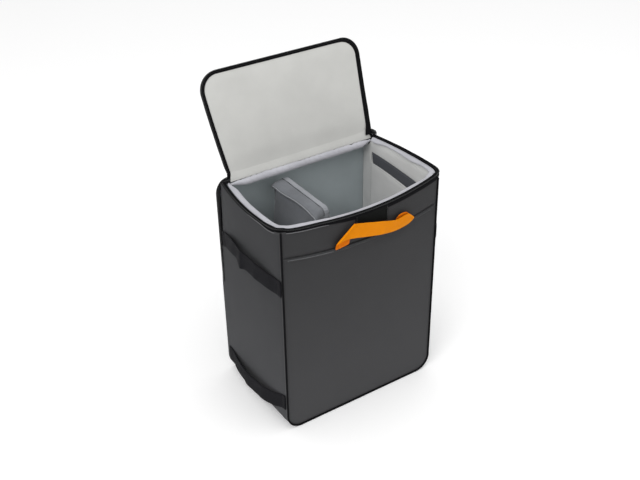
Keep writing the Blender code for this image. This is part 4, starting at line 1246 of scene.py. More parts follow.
for side, sign in (("left", -1.0), ("right", 1.0)):
    side_strap(side + "_strap_upper", side + "_upper_strap", sign, UPPER, UP_LIFT)
    side_strap(side + "_strap_lower", side + "_lower_strap", sign, LOWER, LO_LIFT)


# ---------------------------------------------------------------- front handle
def wall_y(x, z):
    return -HD - float(front_bow(x, z)) - 0.3


def hp(x, off, z):
    return (x, wall_y(x, z) - off, z)


# left end: a tail out of the seam, folded over at 45 degrees into the grip,
# which ends in a second fold and tail.  Rows are the two edges of the webbing.
TAIL_L = [(hp(-59.5, 0.4, 338.8), hp(-40.0, 0.4, 338.8)),
          (hp(-60.6, 2.8, 338.0), hp(-39.2, 3.2, 341.4)),
          (hp(-62.2, 5.0, 339.4), hp(-38.6, 5.7, 344.6)),
          (hp(-62.9, 6.4, 343.2), hp(-38.0, 6.3, 350.6)),
          (hp(-62.8, 6.9, 346.6), hp(-34.6, 6.0, 362.4)),
          (hp(-62.2, 7.1, 348.8), hp(-30.6, 6.9, 376.4))]
GRIP = [(hp(-50.0, 9.8, 354.0), hp(-26.0, 9.9, 378.2)),
        (hp(-40.0, 10.1, 354.4), hp(-21.0, 10.3, 377.2)),
        (hp(-22.0, 10.9, 351.4), hp(-9.0, 11.0, 374.4)),
        (hp(-3.0, 11.5, 347.4), hp(5.0, 11.4, 370.8)),
        (hp(18.0, 11.3, 342.6), hp(19.0, 11.2, 367.0)),
        (hp(36.0, 10.3, 339.0), hp(32.0, 10.6, 362.6)),
        (hp(50.0, 9.0, 336.9), hp(42.0, 10.2, 359.6)),
        (hp(63.0, 8.2, 336.6), hp(50.5, 9.6, 357.4)),
        (hp(76.0, 7.5, 338.0), hp(60.0, 9.2, 358.0)),
        (hp(85.0, 6.8, 340.6), hp(67.5, 8.8, 358.9))]
TAIL_R = [(hp(86.5, 4.2, 341.2), hp(72.6, 6.0, 361.0)),
          (hp(80.5, 3.4, 340.2), hp(65.5, 5.6, 362.7)),
          (hp(75.0, 2.8, 339.4), hp(58.0, 5.2, 361.2)),
          (hp(71.5, 2.2, 338.9), hp(52.5, 4.6, 355.6)),
          (hp(70.0, 1.2, 338.6), hp(50.6, 3.2, 347.0)),
          (hp(69.6, 0.4, 338.4), hp(50.0, 0.6, 338.8))]
CREASE_L = (np.array(hp(-61.9, 8.2, 349.6)), np.array(hp(-30.0, 8.4, 378.2)))
CREASE_R = (np.array(hp(90.4, 5.6, 343.4)), np.array(hp(74.6, 7.4, 357.9)))
tail_l = TAIL_L + [(hp(-61.9, 7.5, 349.6), hp(-29.8, 7.5, 378.2))]
grip = [(hp(-61.6, 9.3, 350.2), hp(-29.2, 9.4, 378.8))] + GRIP + [(hp(90.4, 6.2, 343.2), hp(74.2, 8.2, 358.2))]
tail_r = [(hp(90.4, 4.8, 343.2), hp(74.6, 6.6, 358.0))] + TAIL_R
ends_z = {}
for name, rows_, n_ in (("front_handle_tail_left", tail_l, 60), ("front_handle_webbing", grip, 150),
                        ("front_handle_tail_right", tail_r, 40)):
    rows = [tuple(p) + tuple(q) for p, q in rows_]
    grip_part = name == "front_handle_webbing"
    ob, hmid, hn = ribbon(name, rows, 1.7, M_ORANGE if grip_part else M_ORANGE_SHADE, across=18, along_n=n_,
                          ripple=0.45 if grip_part else 0.6, seed=1.0)
    if name == "front_handle_webbing":
        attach(ob, "handle")
        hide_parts("front_handle")
        grip_mid, grip_n = hmid, hn
    elif name == "front_handle_tail_left":
        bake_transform(ob)
        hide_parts("handle_tack_left")
    else:
        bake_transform(ob)
        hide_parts("handle_tack_right")
for tag, (p0, p1) in (("left", CREASE_L), ("right", CREASE_R)):
    t_ = np.linspace(0, 1, 24)[:, None]
    pts = p0 + (p1 - p0) * t_
    pts[:, 1] -= 0.3 * np.sin(t_[:, 0] * math.pi)
    fold = tube("front_handle_fold_" + tag, pts, 0.3 + 1.35 * np.sqrt(np.clip(1 - (2 * t_[:, 0] - 1) ** 6, 0, 1)),
                M_ORANGE, n=10)
    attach(fold, "handle")


# ------------------------------------------------------------------------ lid
COS, SIN = math.cos(math.radians(LID_OPEN)), math.sin(math.radians(LID_OPEN))
LID_C = LID_LEN - LID_R


def lid_left(s):
    return -(HW - 15.5 * np.maximum(0.0, 1 - s / 150.0) ** 1.3)


def lid_right(s):
    return 149.3 - 4.2 * np.maximum(0.0, 1 - s / 150.0) ** 1.2


def lid_at(x, s, w):
    """Point of the open lid: s from the hinge line, w out from its inner side."""
    x, s, w = np.broadcast_arrays(np.asarray(x, float), s, w)
    return np.stack([x, HINGE_Y - s * COS + w * SIN, HEIGHT + s * SIN + w * COS], -1)


def lid_edge(inset, s0, n=1):
    """Outline of the lid, hinge end of the left edge round to the right one."""
    c, r = LID_C, LID_R - inset
    pts = [(lid_left(s) + inset, s) for s in np.linspace(s0, c, 60 * n)]
    for a in np.linspace(0, math.pi / 2, 22 * n)[1:]:
        pts.append((lid_left(c) + inset + r * (1 - math.cos(a)), c + r * math.sin(a)))
    x0, x1 = pts[-1][0], lid_right(c) - inset - r
    pts += [(x, c + r) for x in np.linspace(x0, x1, 90 * n)[1:-1]]
    for a in np.linspace(math.pi / 2, 0, 22 * n):
        pts.append((lid_right(c) - inset - r * (1 - math.cos(a)), c + r * math.sin(a)))
    pts += [(lid_right(s) - inset, s) for s in np.linspace(c, s0, 60 * n)[1:]]
    return np.array(pts, float)


def lid_rows(inset, s0, n_rows=64, n_cols=90, tuck=0.0):
    """Grid over the lid's face as (x, s), and the distance to its edge."""
    c, r = LID_C, LID_R - inset
    top = LID_LEN - inset
    s = np.concatenate([np.linspace(s0, c, n_rows - 16), c + r * np.sin(np.linspace(0, math.pi / 2, 17)[1:])])
    d = np.where(s > c, r - np.sqrt(np.maximum(0, r * r - (s - c) ** 2)), 0.0)
    sc = np.minimum(s, c)
    more = tuck * (1 - 0.5 * s / LID_LEN)             # the lining stops short on the right
    xl, xr = lid_left(sc) + inset + d, lid_right(sc) - inset - d - more
    t = np.linspace(0, 1, n_cols)
    t = 0.5 - 0.5 * np.cos(t * math.pi) * 0.35 - 0.5 * (1 - 2 * t) * 0.65
    x = xl[:, None] + (xr - xl)[:, None] * t[None, :]
    ss = s[:, None] + 0 * x
    cxl, cxr = lid_left(c) + inset + r, lid_right(c) - inset - r - 0.5 * tuck
    corner = np.where((ss > c) & (x < cxl), r - np.hypot(x - cxl, ss - c), 1e3)
    corner = np.minimum(corner, np.where((ss > c) & (x > cxr), r - np.hypot(x - cxr, ss - c), 1e3))
    e = np.minimum(np.minimum(x - (lid_left(np.minimum(ss, c)) + inset), (lid_right(np.minimum(ss, c)) - inset - tuck * (1 - 0.5 * ss / LID_LEN)) - x),
                   np.minimum(top - ss, corner))
    return x, ss, np.maximum(e, 0)


def lid_side(inset, s0, surf, back_w, name, mat, tuck=0.0):
    x, s, e = lid_rows(inset, s0, tuck=tuck)
    w = surf(x, s, e)
    ob = shell(name, lid_at(x, s, w), lid_at(x, s, np.broadcast_to(back_w, w.shape)), mat)
    return ob, x, s, w


def lining_w(x, s, e):
    p = np.stack([x, s, 0 * x], 2)
    n = 0.55 * wave(p, 75.0, 2.0).reshape(x.shape) + 0.2 * wave(p, 24.0, 7.0).reshape(x.shape)
    pull = 0.22 * wave(p * [1, 0.2, 0], 9.0, 5.0).reshape(x.shape) * np.exp(-(LID_LEN - s) / 14.0)
    hinge = smooth(10.0, 34.0, s)
    return 2.2 - crown(e, 3.0, 9.0) * (0.4 + 0.6 * smooth(8.0, 40.0, s)) - smooth(2, 26, e) * n * hinge + pull


lid_lining, lx_, ls_, lw_ = lid_side(5.6, 9.0, lining_w, 2.5, "lid_lining_cloth", M_LINING, tuck=1.4)
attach(lid_lining, "lid")
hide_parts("lid_lining")


def outer_w(x, s, e):
    p = np.stack([x, s, 0 * x + 50], 2)
    n = 0.7 * wave(p, 60.0, 3.0).reshape(x.shape) + 0.25 * wave(p, 21.0, 9.0).reshape(x.shape)
    root = smooth(15.0, 30.0, s)
    return 5.6 + 1.2 * root + crown(e, 2.6, 8.0) * (0.35 + 0.65 * root) + smooth(2, 26, e) * n * root


lid_pad, px_, ps_, pw_ = lid_side(4.4, 15.0, outer_w, 2.8, "lid_pad", M_FRONT)
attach(lid_pad, "lid")
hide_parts("lid_panel", "lid_foam")

# black edge: binding folded round the pad, its stitching and the zip's coil
E0 = lid_edge(0.0, 2.2)
tx = np.gradient(E0[:, 0])
ts = np.gradient(E0[:, 1])
ln = np.hypot(tx, ts)
nx_, ns_ = -ts / ln, tx / ln                       # outward in the lid's plane (left edge first)
mid = E0.mean(0)
outw = np.sign(((E0[:, 0] - mid[0]) * nx_ + (E0[:, 1] - mid[1]) * ns_).sum())
nx_, ns_ = nx_ * outw, ns_ * outw
s_len = np.concatenate([[0], np.cumsum(np.hypot(np.diff(E0[:, 0]), np.diff(E0[:, 1])))])
bl = np.stack([s_len, 0 * s_len, 0 * s_len], 1)
wob = 0.22 * wave(bl, 16.0, 4.0)
prof = [(-5.4, 1.9), (-4.9, 1.1), (-3.9, 0.75), (-2.6, 1.0), (-1.9, 0.75), (-0.8, 1.0), (0.1, 2.0), (0.35, 3.6),
        (0.2, 5.4), (-0.1, 7.2), (-1.0, 8.5), (-2.4, 8.9), (-4.2, 8.7), (-5.2, 8.0), (-5.2, 6.8), (-3.6, 6.6),
        (-3.2, 4.0), (-4.2, 2.9)]
root = smooth(3.0, 22.0, E0[:, 1])
at_right = smooth(100, 146, E0[:, 0])
wide = 1.0 + 3.7 * at_right * (1 - 0.5 * smooth(0, 170, E0[:, 1])) + 5.0 * at_right * (1 - smooth(4.0, 22.0, E0[:, 1]))
shift = 1.8 * at_right * (1 - smooth(20.0, 120.0, E0[:, 1]))
rings = []
for o, w in prof:
    oo = o + wob * (1 if o > -3 else 0.3) - (wide - 1.0) * (o < -4 and w < 4) + 0.9 * at_right * (o > -2) + shift
    ww = w - (1 - root) * 0.75 * max(0.0, w - 3.4)   # thin near the hinge, so the lid can lie back
    ww = ww - 3.4 * at_right * (1 - smooth(6.0, 24.0, E0[:, 1])) * (w < 4 and o < -2)
    rings.append(lid_at(E0[:, 0] + nx_ * oo, E0[:, 1] + ns_ * oo, ww))
binding = loft("lid_edge_binding", np.stack(rings, 1), M_BIND)
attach(binding, "lid")
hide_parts("lid_binding", "lid_zip_tape")
inward = unit(lid_at(0, 0, -1) - lid_at(0, 0, 0))
nrm = np.tile(inward, (len(E0), 1))
outv = unit(lid_at(nx_, ns_, 0) - lid_at(0, 0, 0))
coil = zip_teeth("lid_zip_coil", lid_at(E0[:, 0] + nx_ * 0.2, E0[:, 1] + ns_ * 0.2, 1.1)[3:-3],
                 unit(nrm * 0.6 + outv * 0.8)[3:-3], M_TOOTH, pitch=1.6, width=2.2)
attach(coil, "lid")
st = sew("lid_binding_stitch", lid_at(E0[:, 0] + nx_ * -2.4, E0[:, 1] + ns_ * -2.4, 0.95)[2:-2], nrm[2:-2], M_THREAD, pitch=3.0)
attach(st, "lid")
st = sew("lid_binding_stitch_outer", lid_at(E0[:, 0] + nx_ * -4.1, E0[:, 1] + ns_ * -4.1, 8.75)[2:-2], -nrm[2:-2], M_THREAD, pitch=3.0)
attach(st, "lid")

# ------------------------------------------------- hinge cloth, inside and out
nx = 260
hx = np.linspace(-134.2, 143.2, nx)
line = np.stack([hx, 0 * hx, 0 * hx], 1)
w1, w2 = wave(line, 30.0, 2.0), wave(line, 10.0, 8.0)
ends = smooth(0, 16, hx - hx[0]) * smooth(0, 12, hx[-1] - hx)
# lining side: on down from the lid's lining into the crease behind the gathered roll
xl, xr = float(lid_left(9.0)) + 5.6, float(lid_right(9.0)) - 9.5
xtop = xl + (xr - xl) * (hx - hx[0]) / (hx[-1] - hx[0])
rows = []
for t in np.linspace(0, 1, 18):
    a = lid_at(xtop, np.full(nx, 13.0), 1.8)
    b = lid_at(xtop, np.full(nx, 6.4), 0.75 - 0.15 * w1)
    c = np.stack([hx, 75.3 - 0.3 * w1, 397.8 + 0.3 * w2], 1)
    d = np.stack([hx, 74.5 - 0.3 * w1, 392.6 + 0.4 * w1], 1)
    q = (1 - t) ** 3 * a + 3 * (1 - t) ** 2 * t * b + 3 * (1 - t) * t ** 2 * c + t ** 3 * d
    q[:, 1] -= 0.16 * np.sin(hx / 1.7 + 4 * w1) * math.sin(math.pi * t) * float(smooth(0.4, 1.0, np.array(t)))
    rows.append(q)
g = np.array(rows)
gi = g + np.array([0, 1.0, -0.2])
hinge_in = shell("lid_hinge_lining", g, gi, M_LINING)
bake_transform(hinge_in)

# outer side: from the lid's pad down to the strip behind it
rows = []
for t in np.linspace(0, 1, 16):
    a = lid_at(xtop * 1.02, np.full(nx, 17.5), 7.6 + 0.3 * w1)
    b = lid_at(xtop * 1.02, np.full(nx, 9.0), 8.6 + 0.4 * w2)
    c = np.stack([hx * 1.01, 86.0 + 0.6 * w1, 399.0 + 0.5 * w2], 1)
    d = np.stack([hx * 1.01, 82.6 + 0.3 * w1, 396.1 + 0 * w1], 1)
    q = (1 - t) ** 3 * a + 3 * (1 - t) ** 2 * t * b + 3 * (1 - t) * t ** 2 * c + t ** 3 * d
    q[:, 2] += 0.25 * np.sin(hx / 2.3 + 5 * w1) * math.sin(math.pi * t)
    rows.append(q)
g = np.array(rows)
gi = g + np.array([0, -1.2, -0.3])
hinge_out = shell("lid_hinge_cover", g, gi, M_BIND)
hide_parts("lid_hinge_tape")
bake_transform(hinge_out)

# ------------------------------------------------ strip of the top behind it
ty = np.array([76.0, 76.6, 78, 80, 82, 84, 86, 88, 89.5, 90.6, 91.4, 91.8])
tg, ti = [], []
aa = np.concatenate([np.linspace(math.pi / 2, 0.0, 12)])
for y in ty:
    r, cz, cx = float(top_round(y)), float(top_slope(y) - top_round(y)), HW - float(top_round(y))
    e = min(y - ty[0], ty[-1] - y)
    off = -0.4 + float(crown(np.array(e), 1.1, 2.5))
    row, rin = [], []
    for a in aa:
        row.append((-(cx + (r + off) * math.sin(a)), y, cz + (r + off) * math.cos(a)))
        rin.append((-(cx + max(0.2, r - 8.0) * math.sin(a)), y, cz + max(0.2, r - 8.0) * math.cos(a) if r > 8.3 else cz + 0.2 * math.cos(a)))
    for x in np.linspace(-cx, cx, 60)[1:-1]:
        n_ = 0.35 * noise.noise(Vector((x / 24.0, y / 9.0, 1.0)))
        row.append((x, y, cz + r + off + n_))
        rin.append((x, y, FOAM_TOP + 2.4 if abs(x) < 128 else cz + max(0.2, min(r, FOAM_TOP + 2.4 - cz))))
    for a in aa[::-1]:
        row.append((cx + (r + off) * math.sin(a), y, cz + (r + off) * math.cos(a)))
        rin.append((cx + max(0.2, r - 8.0) * math.sin(a), y, cz + max(0.2, r - 8.0) * math.cos(a) if r > 8.3 else cz + 0.2 * math.cos(a)))
    tg.append(row)
    ti.append(rin)
tg, ti = np.array(tg), np.array(ti)
ti[:, :, 2] = np.minimum(ti[:, :, 2], tg[:, :, 2] - 0.8)
top_strip = shell("top_strip_pad", tg, ti, M_FRONT)
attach(top_strip, "box")
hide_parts("top_strip_panel", "top_strip_foam")
tl = shell("top_strip_lining_cloth",
           [[(x, y, FOAM_TOP + 2.0) for x in np.linspace(-127, 127, 40)] for y in np.linspace(76.8, 91.6, 8)],
           [[(x, y, FOAM_TOP + 0.9 - 0.5 * noise.noise(Vector((x / 30, y / 12, 3)))) for x in np.linspace(-127, 127, 40)]
            for y in np.linspace(76.8, 91.6, 8)], M_LINING_BLUE_SHADED)
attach(tl, "box")
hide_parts("top_strip_lining")

# black zip band on the upper rear edges, over the round and on to the top
for side, sign in (("left", -1.0), ("right", 1.0)):
    us = np.concatenate([np.linspace(0, 1, 60), 1 + np.linspace(0, 1, 16)[1:], 2 + np.linspace(0, 1, 8)[1:]])
    g, gi = [], []
    for u in us:
        zn = 196.0 + (378.0 - 196.0) * min(u, 1.0)
        yb = float(band_line(zn)) if u <= 1 else float(np.interp(u, [1, 2, 3], [band_line(378.0), 77.4, 77.0]))
        yb = min(yb, 90.9)
        row, rin = [], []
        for t in np.linspace(0, 1, 9):
            y = yb + (92.0 - yb) * t
            r, cz, cx = float(top_round(y)), float(top_slope(y) - top_round(y)), HW - float(top_round(y))
            edge = min(t, 1 - t) * (92.0 - yb)
            ou = 1.35 + 0.35 * (1 - math.exp(-edge / 1.0)) + 0.12 * noise.noise(Vector((y / 5, u * 9, sign)))
            for o, dst in ((ou, row), (ou - 1.1, rin)):
                if u <= 1:
                    dst.append((sign * (HW + o + 0.25), y, 196.0 + (cz - 196.0) * u))
                elif u <= 2:
                    a = (2 - u) * math.pi / 2
                    dst.append((sign * (cx + (r + o + 0.25 * (2 - u)) * math.sin(a)), y, cz + (r + o) * math.cos(a)))
                else:
                    dst.append((sign * (cx - (u - 2) * 16.0), y, cz + r + o - 0.5 * (u - 2)))
        g.append(row)
        gi.append(rin)
    band = shell("rear_band_" + side, g, gi, M_BIND)
    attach(band, "box")

# ------------------------------------------------------------------ rear door


def door_rows(y, inset, nz=90):
    r = float(top_round(y)) - inset
    cz, top = float(top_slope(y) - top_round(y)), float(top_slope(y)) - inset
    rb = BASE_R - inset
    z = np.concatenate([BASE_R - rb * np.cos(np.linspace(0, math.pi / 2, 14)),
                        np.linspace(BASE_R, cz, nz)[1:-1], cz + r * np.sin(np.linspace(0, math.pi / 2, 12))])
    half = np.full(len(z), HW - inset)
    low = z < BASE_R
    half[low] = HW - BASE_R + np.sqrt(np.maximum(0, rb ** 2 - (BASE_R - z[low]) ** 2))
    high = z > cz
    half[high] = HW - float(top_round(y)) + np.sqrt(np.maximum(0, r ** 2 - (z[high] - cz) ** 2))
    return z, half


def door_face(y, inset, n_cols=80):
    z, half = door_rows(y, inset)
    s = np.linspace(-1, 1, n_cols)
    x = s[None, :] * half[:, None]
    zz = z[:, None] + 0 * x
    e = np.minimum(half[:, None] - np.abs(x), np.minimum(zz - inset, float(top_slope(y)) - inset - zz))
    return x, zz, np.maximum(e, 0)


x, z, e = door_face(DOOR_BACK, 4.2)
p = np.stack([x, 0 * x, z], 2)
n = 0.7 * wave(p, 66.0, 12.0).reshape(x.shape) + 0.3 * wave(p, 24.0, 15.0).reshape(x.shape)
g = np.stack([x, 99.2 + crown(e, 2.6, 8.0) + smooth(2, 26, e) * n, z], 2)
x2, z2, e2 = door_face(DOOR_BACK, 4.2)
gi = np.stack([x2, np.full(x2.shape, 93.6), z2], 2)
door = shell("rear_door_pad", g, gi, M_FRONT)
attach(door, "rear_door")
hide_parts("rear_door_panel", "rear_door_foam")
x, z, e = door_face(DOOR_FRONT + 0.6, 4.2)
n = 0.35 * wave(np.stack([x, 0 * x, z], 2), 40.0, 5.0).reshape(x.shape)
g = np.stack([x, 93.2 - crown(e, 1.5, 7.0) - 0.4 * smooth(2, 20, e) * n, z], 2)
gi = np.stack([x, np.full(x.shape, 93.5), z], 2)
dl = shell("rear_door_lining_cloth", g, gi, M_LINING_BLUE_SHADED)
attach(dl, "rear_door")
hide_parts("rear_door_lining")


def door_edge(y, inset, n=1):
    """Outline of the door at one depth, from its lower right corner round the left side."""
    r, cz, cx = float(top_round(y)) - inset, float(top_slope(y) - top_round(y)), HW - float(top_round(y))
    rb = BASE_R - inset
    pts = []
    for a in np.linspace(0, math.pi / 2, 16):
        pts.append((-(HW - BASE_R) - rb * math.sin(a), BASE_R - rb * math.cos(a)))
    pts += [(-(HW - inset), z) for z in np.linspace(BASE_R, cz, 120)[1:-1]]
    for a in np.linspace(math.pi / 2, 0, 16):
        pts.append((-cx - r * math.sin(a), cz + r * math.cos(a)))
    pts += [(x, cz + r) for x in np.linspace(-cx, cx, 90)[1:-1]]
    for a in np.linspace(0, math.pi / 2, 16):
        pts.append((cx + r * math.sin(a), cz + r * math.cos(a)))
    pts += [((HW - inset), z) for z in np.linspace(cz, BASE_R, 120)[1:-1]]
    for a in np.linspace(math.pi / 2, 0, 16):
        pts.append(((HW - BASE_R) + rb * math.sin(a), BASE_R - rb * math.cos(a)))
    pts += [(x, inset) for x in np.linspace(HW - BASE_R, -(HW - BASE_R), 60)[1:-1]]
    return np.array(pts)


ring_y = [(0.7, 92.1), (0.2, 92.5), (0.0, 94.0), (0.35, 95.4), (0.35, 96.4), (0.0, 97.6), (0.0, 99.6), (0.4, 100.8),
          (1.4, 101.4), (2.8, 101.3), (4.2, 100.7), (4.8, 99.8), (4.6, 98.6), (3.6, 97.0), (3.6, 95.2), (4.6, 93.9), (4.8, 92.9), (4.0, 92.2), (2.4, 92.0)]
rings = np.stack([np.stack([door_edge(y, i)[:, 0], np.full(len(door_edge(y, i)), y), door_edge(y, i)[:, 1]], 1)
                  for i, y in ring_y], 1)
db = loft("rear_door_edge", rings, M_BIND, closed=True)
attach(db, "rear_door")
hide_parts("rear_door_binding")
# zip coil round the left side and the top, and the binding's stitching
E = door_edge(95.9, 0.2)
path = np.stack([E[:, 0], np.full(len(E), 95.9), E[:, 1]], 1)[6:330]
cen = np.array([0, 95.9, 200.0])
nrm = unit((path - cen) * [1, 0, 1])
nrm[:, 0] = np.where(np.abs(path[:, 0]) > HW - 1, np.sign(path[:, 0]), nrm[:, 0])
coil = zip_teeth("rear_zip_coil", path, nrm, M_TOOTH, pitch=1.7, width=2.3)
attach(coil, "rear_door")
E = door_edge(101.0, 2.6)
path = np.stack([E[:, 0], np.full(len(E), 101.35), E[:, 1]], 1)
st = sew("rear_door_stitch", np.vstack([path, path[:1]]), np.tile([0, 1.0, 0], (len(path) + 1, 1)), M_THREAD, pitch=3.2)
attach(st, "rear_door")
# cloth hinge of the door, on the right
nz = 90
zz = np.linspace(30.0, 371.0, nz)
line = np.stack([zz, 0 * zz, 0 * zz], 1)
w1 = wave(line, 22.0, 6.0)
rows = []
for t in np.linspace(0, 1, 18):
    a = np.stack([np.full(nz, HW + 1.2), np.full(nz, 84.5), zz], 1)
    b = np.stack([HW + 2.5 + 0.3 * w1, np.full(nz, 89.0), zz], 1)
    c = np.stack([HW + 2.5 + 0.3 * w1, np.full(nz, 95.0), zz], 1)
    d = np.stack([np.full(nz, HW + 0.3), np.full(nz, 99.5), zz], 1)
    q = (1 - t) ** 3 * a + 3 * (1 - t) ** 2 * t * b + 3 * (1 - t) * t ** 2 * c + t ** 3 * d
    rows.append(q)
g = np.array(rows)
gi = g - np.array([0.9, 0, 0])
dh = shell("rear_door_hinge_cloth", g, gi, M_BIND)
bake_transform(dh)


# ------------------------------------------------------------ padded by cloth
def rounded_block(lo, hi, r, cuts=3):
    """Box mesh with rounded edges, in millimetres."""
    bm = bmesh.new()
    bmesh.ops.create_cube(bm, size=1.0)
    for v in bm.verts:
        for k in range(3):
            v.co[k] = lo[k] + (v.co[k] + 0.5) * (hi[k] - lo[k])
    bmesh.ops.bevel(bm, geom=bm.edges[:], offset=r, segments=3, profile=0.5, affect="EDGES")
    me = bpy.data.meshes.new("block")
    for v in bm.verts:
        v.co *= MM
    bm.to_mesh(me)
    bm.free()
    return me


def puffed(name, lo, hi, mat, shrink=1.6, cap=5.0, voxel=5.0, stiff=12.0, pressure=4.0, hold=None, smooth_n=2, shape=None):
    """A stuffed pad: a slightly smaller block, remeshed, swollen as cloth and capped.
    hold(p) is the share by which a point (mm) is kept where it was."""
    lo, hi = np.array(lo, float), np.array(hi, float)
    me = rounded_block(lo + shrink, hi - shrink, min(4.0, 0.3 * float(min(hi - lo))))
    ob = bpy.data.objects.new(name, me)
    bpy.context.scene.collection.objects.link(ob)
    rm = ob.modifiers.new("remesh", "REMESH")
    rm.mode = "VOXEL"
    rm.voxel_size = voxel * MM
    bpy.context.view_layer.update()
    dg = bpy.context.evaluated_depsgraph_get()
    base = bpy.data.meshes.new_from_object(ob.evaluated_get(dg))
    ob.modifiers.clear()
    ob.data = base
    n = len(base.vertices)
    p0 = np.zeros(n * 3)
    base.vertices.foreach_get("co", p0)
    p0 = p0.reshape(-1, 3)
    nr = np.zeros(n * 3)
    base.vertices.foreach_get("normal", nr)
    nr = nr.reshape(-1, 3)
    cl = ob.modifiers.new("cloth", "CLOTH")
    s = cl.settings
    s.mass = 0.2
    s.tension_stiffness = s.compression_stiffness = stiff
    s.shear_stiffness = stiff * 0.5
    s.bending_stiffness = 0.6
    s.use_pressure = True
    s.uniform_pressure_force = pressure
    s.effector_weights.gravity = 0.0
    cl.point_cache.frame_start, cl.point_cache.frame_end = 1, 20
    for f in range(1, 21):
        bpy.context.scene.frame_set(f)
    dg = bpy.context.evaluated_depsgraph_get()
    ev = ob.evaluated_get(dg)
    p1 = np.zeros(n * 3)
    ev.data.vertices.foreach_get("co", p1)
    p1 = p1.reshape(-1, 3)
    ob.modifiers.clear()
    bpy.context.scene.frame_set(1)
    d = p1 - p0
    ln = np.linalg.norm(d, axis=1) + 1e-12
    k = cap * MM * np.tanh(ln / (cap * MM)) / ln
    if hold is not None:
        k = k * (1 - hold(p0 / MM))
    p = p0 + d * k[:, None]
    if shape is not None:
        p = shape(p / MM) * MM
    base.vertices.foreach_set("co", p.ravel())
    base.update()
    bm = bmesh.new()
    bm.from_mesh(base)
    for _ in range(smooth_n):
        bmesh.ops.smooth_vert(bm, verts=bm.verts[:], factor=0.4, use_axis_x=True, use_axis_y=True, use_axis_z=True)
    bm.to_mesh(base)
    bm.free()
    sub = ob.modifiers.new("sub", "SUBSURF")
    sub.levels = sub.render_levels = 1
    bpy.context.view_layer.update()
    dg = bpy.context.evaluated_depsgraph_get()
    final = bpy.data.meshes.new_from_object(ob.evaluated_get(dg))
    ob.modifiers.clear()
    ob.data = final
    ob.name = name
    final.name = name
    final.materials.clear()
    final.materials.append(mat)
    final.shade_smooth()
    # fine unevenness of brushed cloth over stuffing
    q = np.zeros(len(final.vertices) * 3)
    final.vertices.foreach_get("co", q)
    q = q.reshape(-1, 3)
    nn = np.zeros(len(final.vertices) * 3)
    final.vertices.foreach_get("normal", nn)
    q = q + nn.reshape(-1, 3) * (0.28 * wave(q / MM, 17.0, float(lo[0]) * 0.1 + 3.0) * MM)[:, None]
    final.vertices.foreach_set("co", q.ravel())
    final.update()
    return ob


def on_surface(ob, pts, direction, off=0.3, reach=60.0):
    """Points dropped along a direction on to a piece, with its normals."""
    tree = BVHTree.FromPolygons([v.co for v in ob.data.vertices], [tuple(p.vertices) for p in ob.data.polygons])
    d = Vector(direction).normalized()
    out, nrm = [], []
    for q in np.asarray(pts, float):
        start = Vector(q * MM) - d * reach * MM
        loc, n, idx, dist = tree.ray_cast(start, d)
        if loc is None:
            continue
        if n.dot(d) > 0:
            n = -n
        out.append((np.array(loc) / MM) + np.array(n) * off)
        nrm.append(np.array(n))
    return np.array(out), np.array(nrm)


# --------------------------------------------------------------- inner linings
FRONT_IN = -HD + SKIN + FOAM + LINING + 2 * GAP
SIDE_IN = HW - (SKIN + FOAM + LINING + 2 * GAP)
FLOOR_IN = SKIN + FOAM + LINING + 2 * GAP

# front
cols = np.linspace(-140.6, 140.6, 80)
f = np.linspace(0, 1, 70)
ztop = 391.5 - front_sag(cols)
z = FLOOR_IN + f[:, None] * (ztop[None, :] - FLOOR_IN)
x = np.broadcast_to(cols[None, :], z.shape).copy()
low = np.maximum(0, BASE_R - z)
lim = HW - BASE_R + np.sqrt(np.maximum(0, (BASE_R - FLOOR_IN) ** 2 - low ** 2))
x = np.where(z < BASE_R, x / 140.6 * np.minimum(140.6, lim + 0.2), x)
w = wave(np.stack([x, 0 * x, z], 2), 58.0, 4.0).reshape(x.shape)
e = np.minimum(140.6 - np.abs(x), z - FLOOR_IN)
top_lean = smooth(382.0, 391.5, z + front_sag(x)) * 4.0
y = FRONT_IN - front_bow(x, z) + 0.2 + crown(e, 1.2, 8.0) * 0.6 + 0.5 * w * smooth(2, 25, e) - top_lean
g = np.stack([x, y, z], 2)
gi = np.stack([x, FRONT_IN - front_bow(x, z) - 1.1 - top_lean, z], 2)
ob = shell("front_lining_cloth", g, gi, M_LINING_WALL_LIT)
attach(ob, "box")
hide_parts("front_lining")

# sides
for side, sign in (("left", -1.0), ("right", 1.0)):
    ys = np.concatenate([np.linspace(-91.4, -60, 16), np.linspace(-56, 91.4, 44)])
    g, gi = [], []
    for t in np.linspace(1, 0, 70):
        crest = 391.0 if sign < 0 else 393.8
        top = np.where(ys <= 74, crest - side_sag(sign, ys), np.minimum(381.3, skin_top(sign, ys) - 3.0))
        z = BASE_R + t * (top - BASE_R)
        e = np.minimum(ys + 91.4, 91.4 - ys)
        w = wave(np.stack([0 * ys + sign * 500, ys, z], 1), 55.0, 6.0)
        lean = smooth(crest - 9.5, crest, z + side_sag(sign, ys)) * 3.8
        off = 0.2 + 0.7 * crown(e, 1.0, 8.0) + 0.55 * w * smooth(2, 20, e) - lean
        bow = side_bow(sign, ys, z)
        g.append(np.stack([sign * (SIDE_IN + bow - off), ys, z], 1))
        gi.append(np.stack([sign * (SIDE_IN + bow + 1.1 + lean * 1.0), ys, z], 1))
    for k in range(1, 11):
        a = math.radians(90 - 9 * k)
        r0, r1 = BASE_R - FLOOR_IN, BASE_R - FLOOR_IN + 1.1
        g.append(np.stack([0 * ys + sign * (HW - BASE_R + r0 * math.sin(a)), ys, BASE_R - r0 * math.cos(a) + 0 * ys], 1))
        gi.append(np.stack([0 * ys + sign * (HW - BASE_R + r1 * math.sin(a)), ys, BASE_R - r1 * math.cos(a) + 0 * ys], 1))
    ob = shell(side + "_lining_cloth", np.array(g), np.array(gi), M_LINING_WALL_LIT)
    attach(ob, "box")
    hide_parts(side + "_lining")

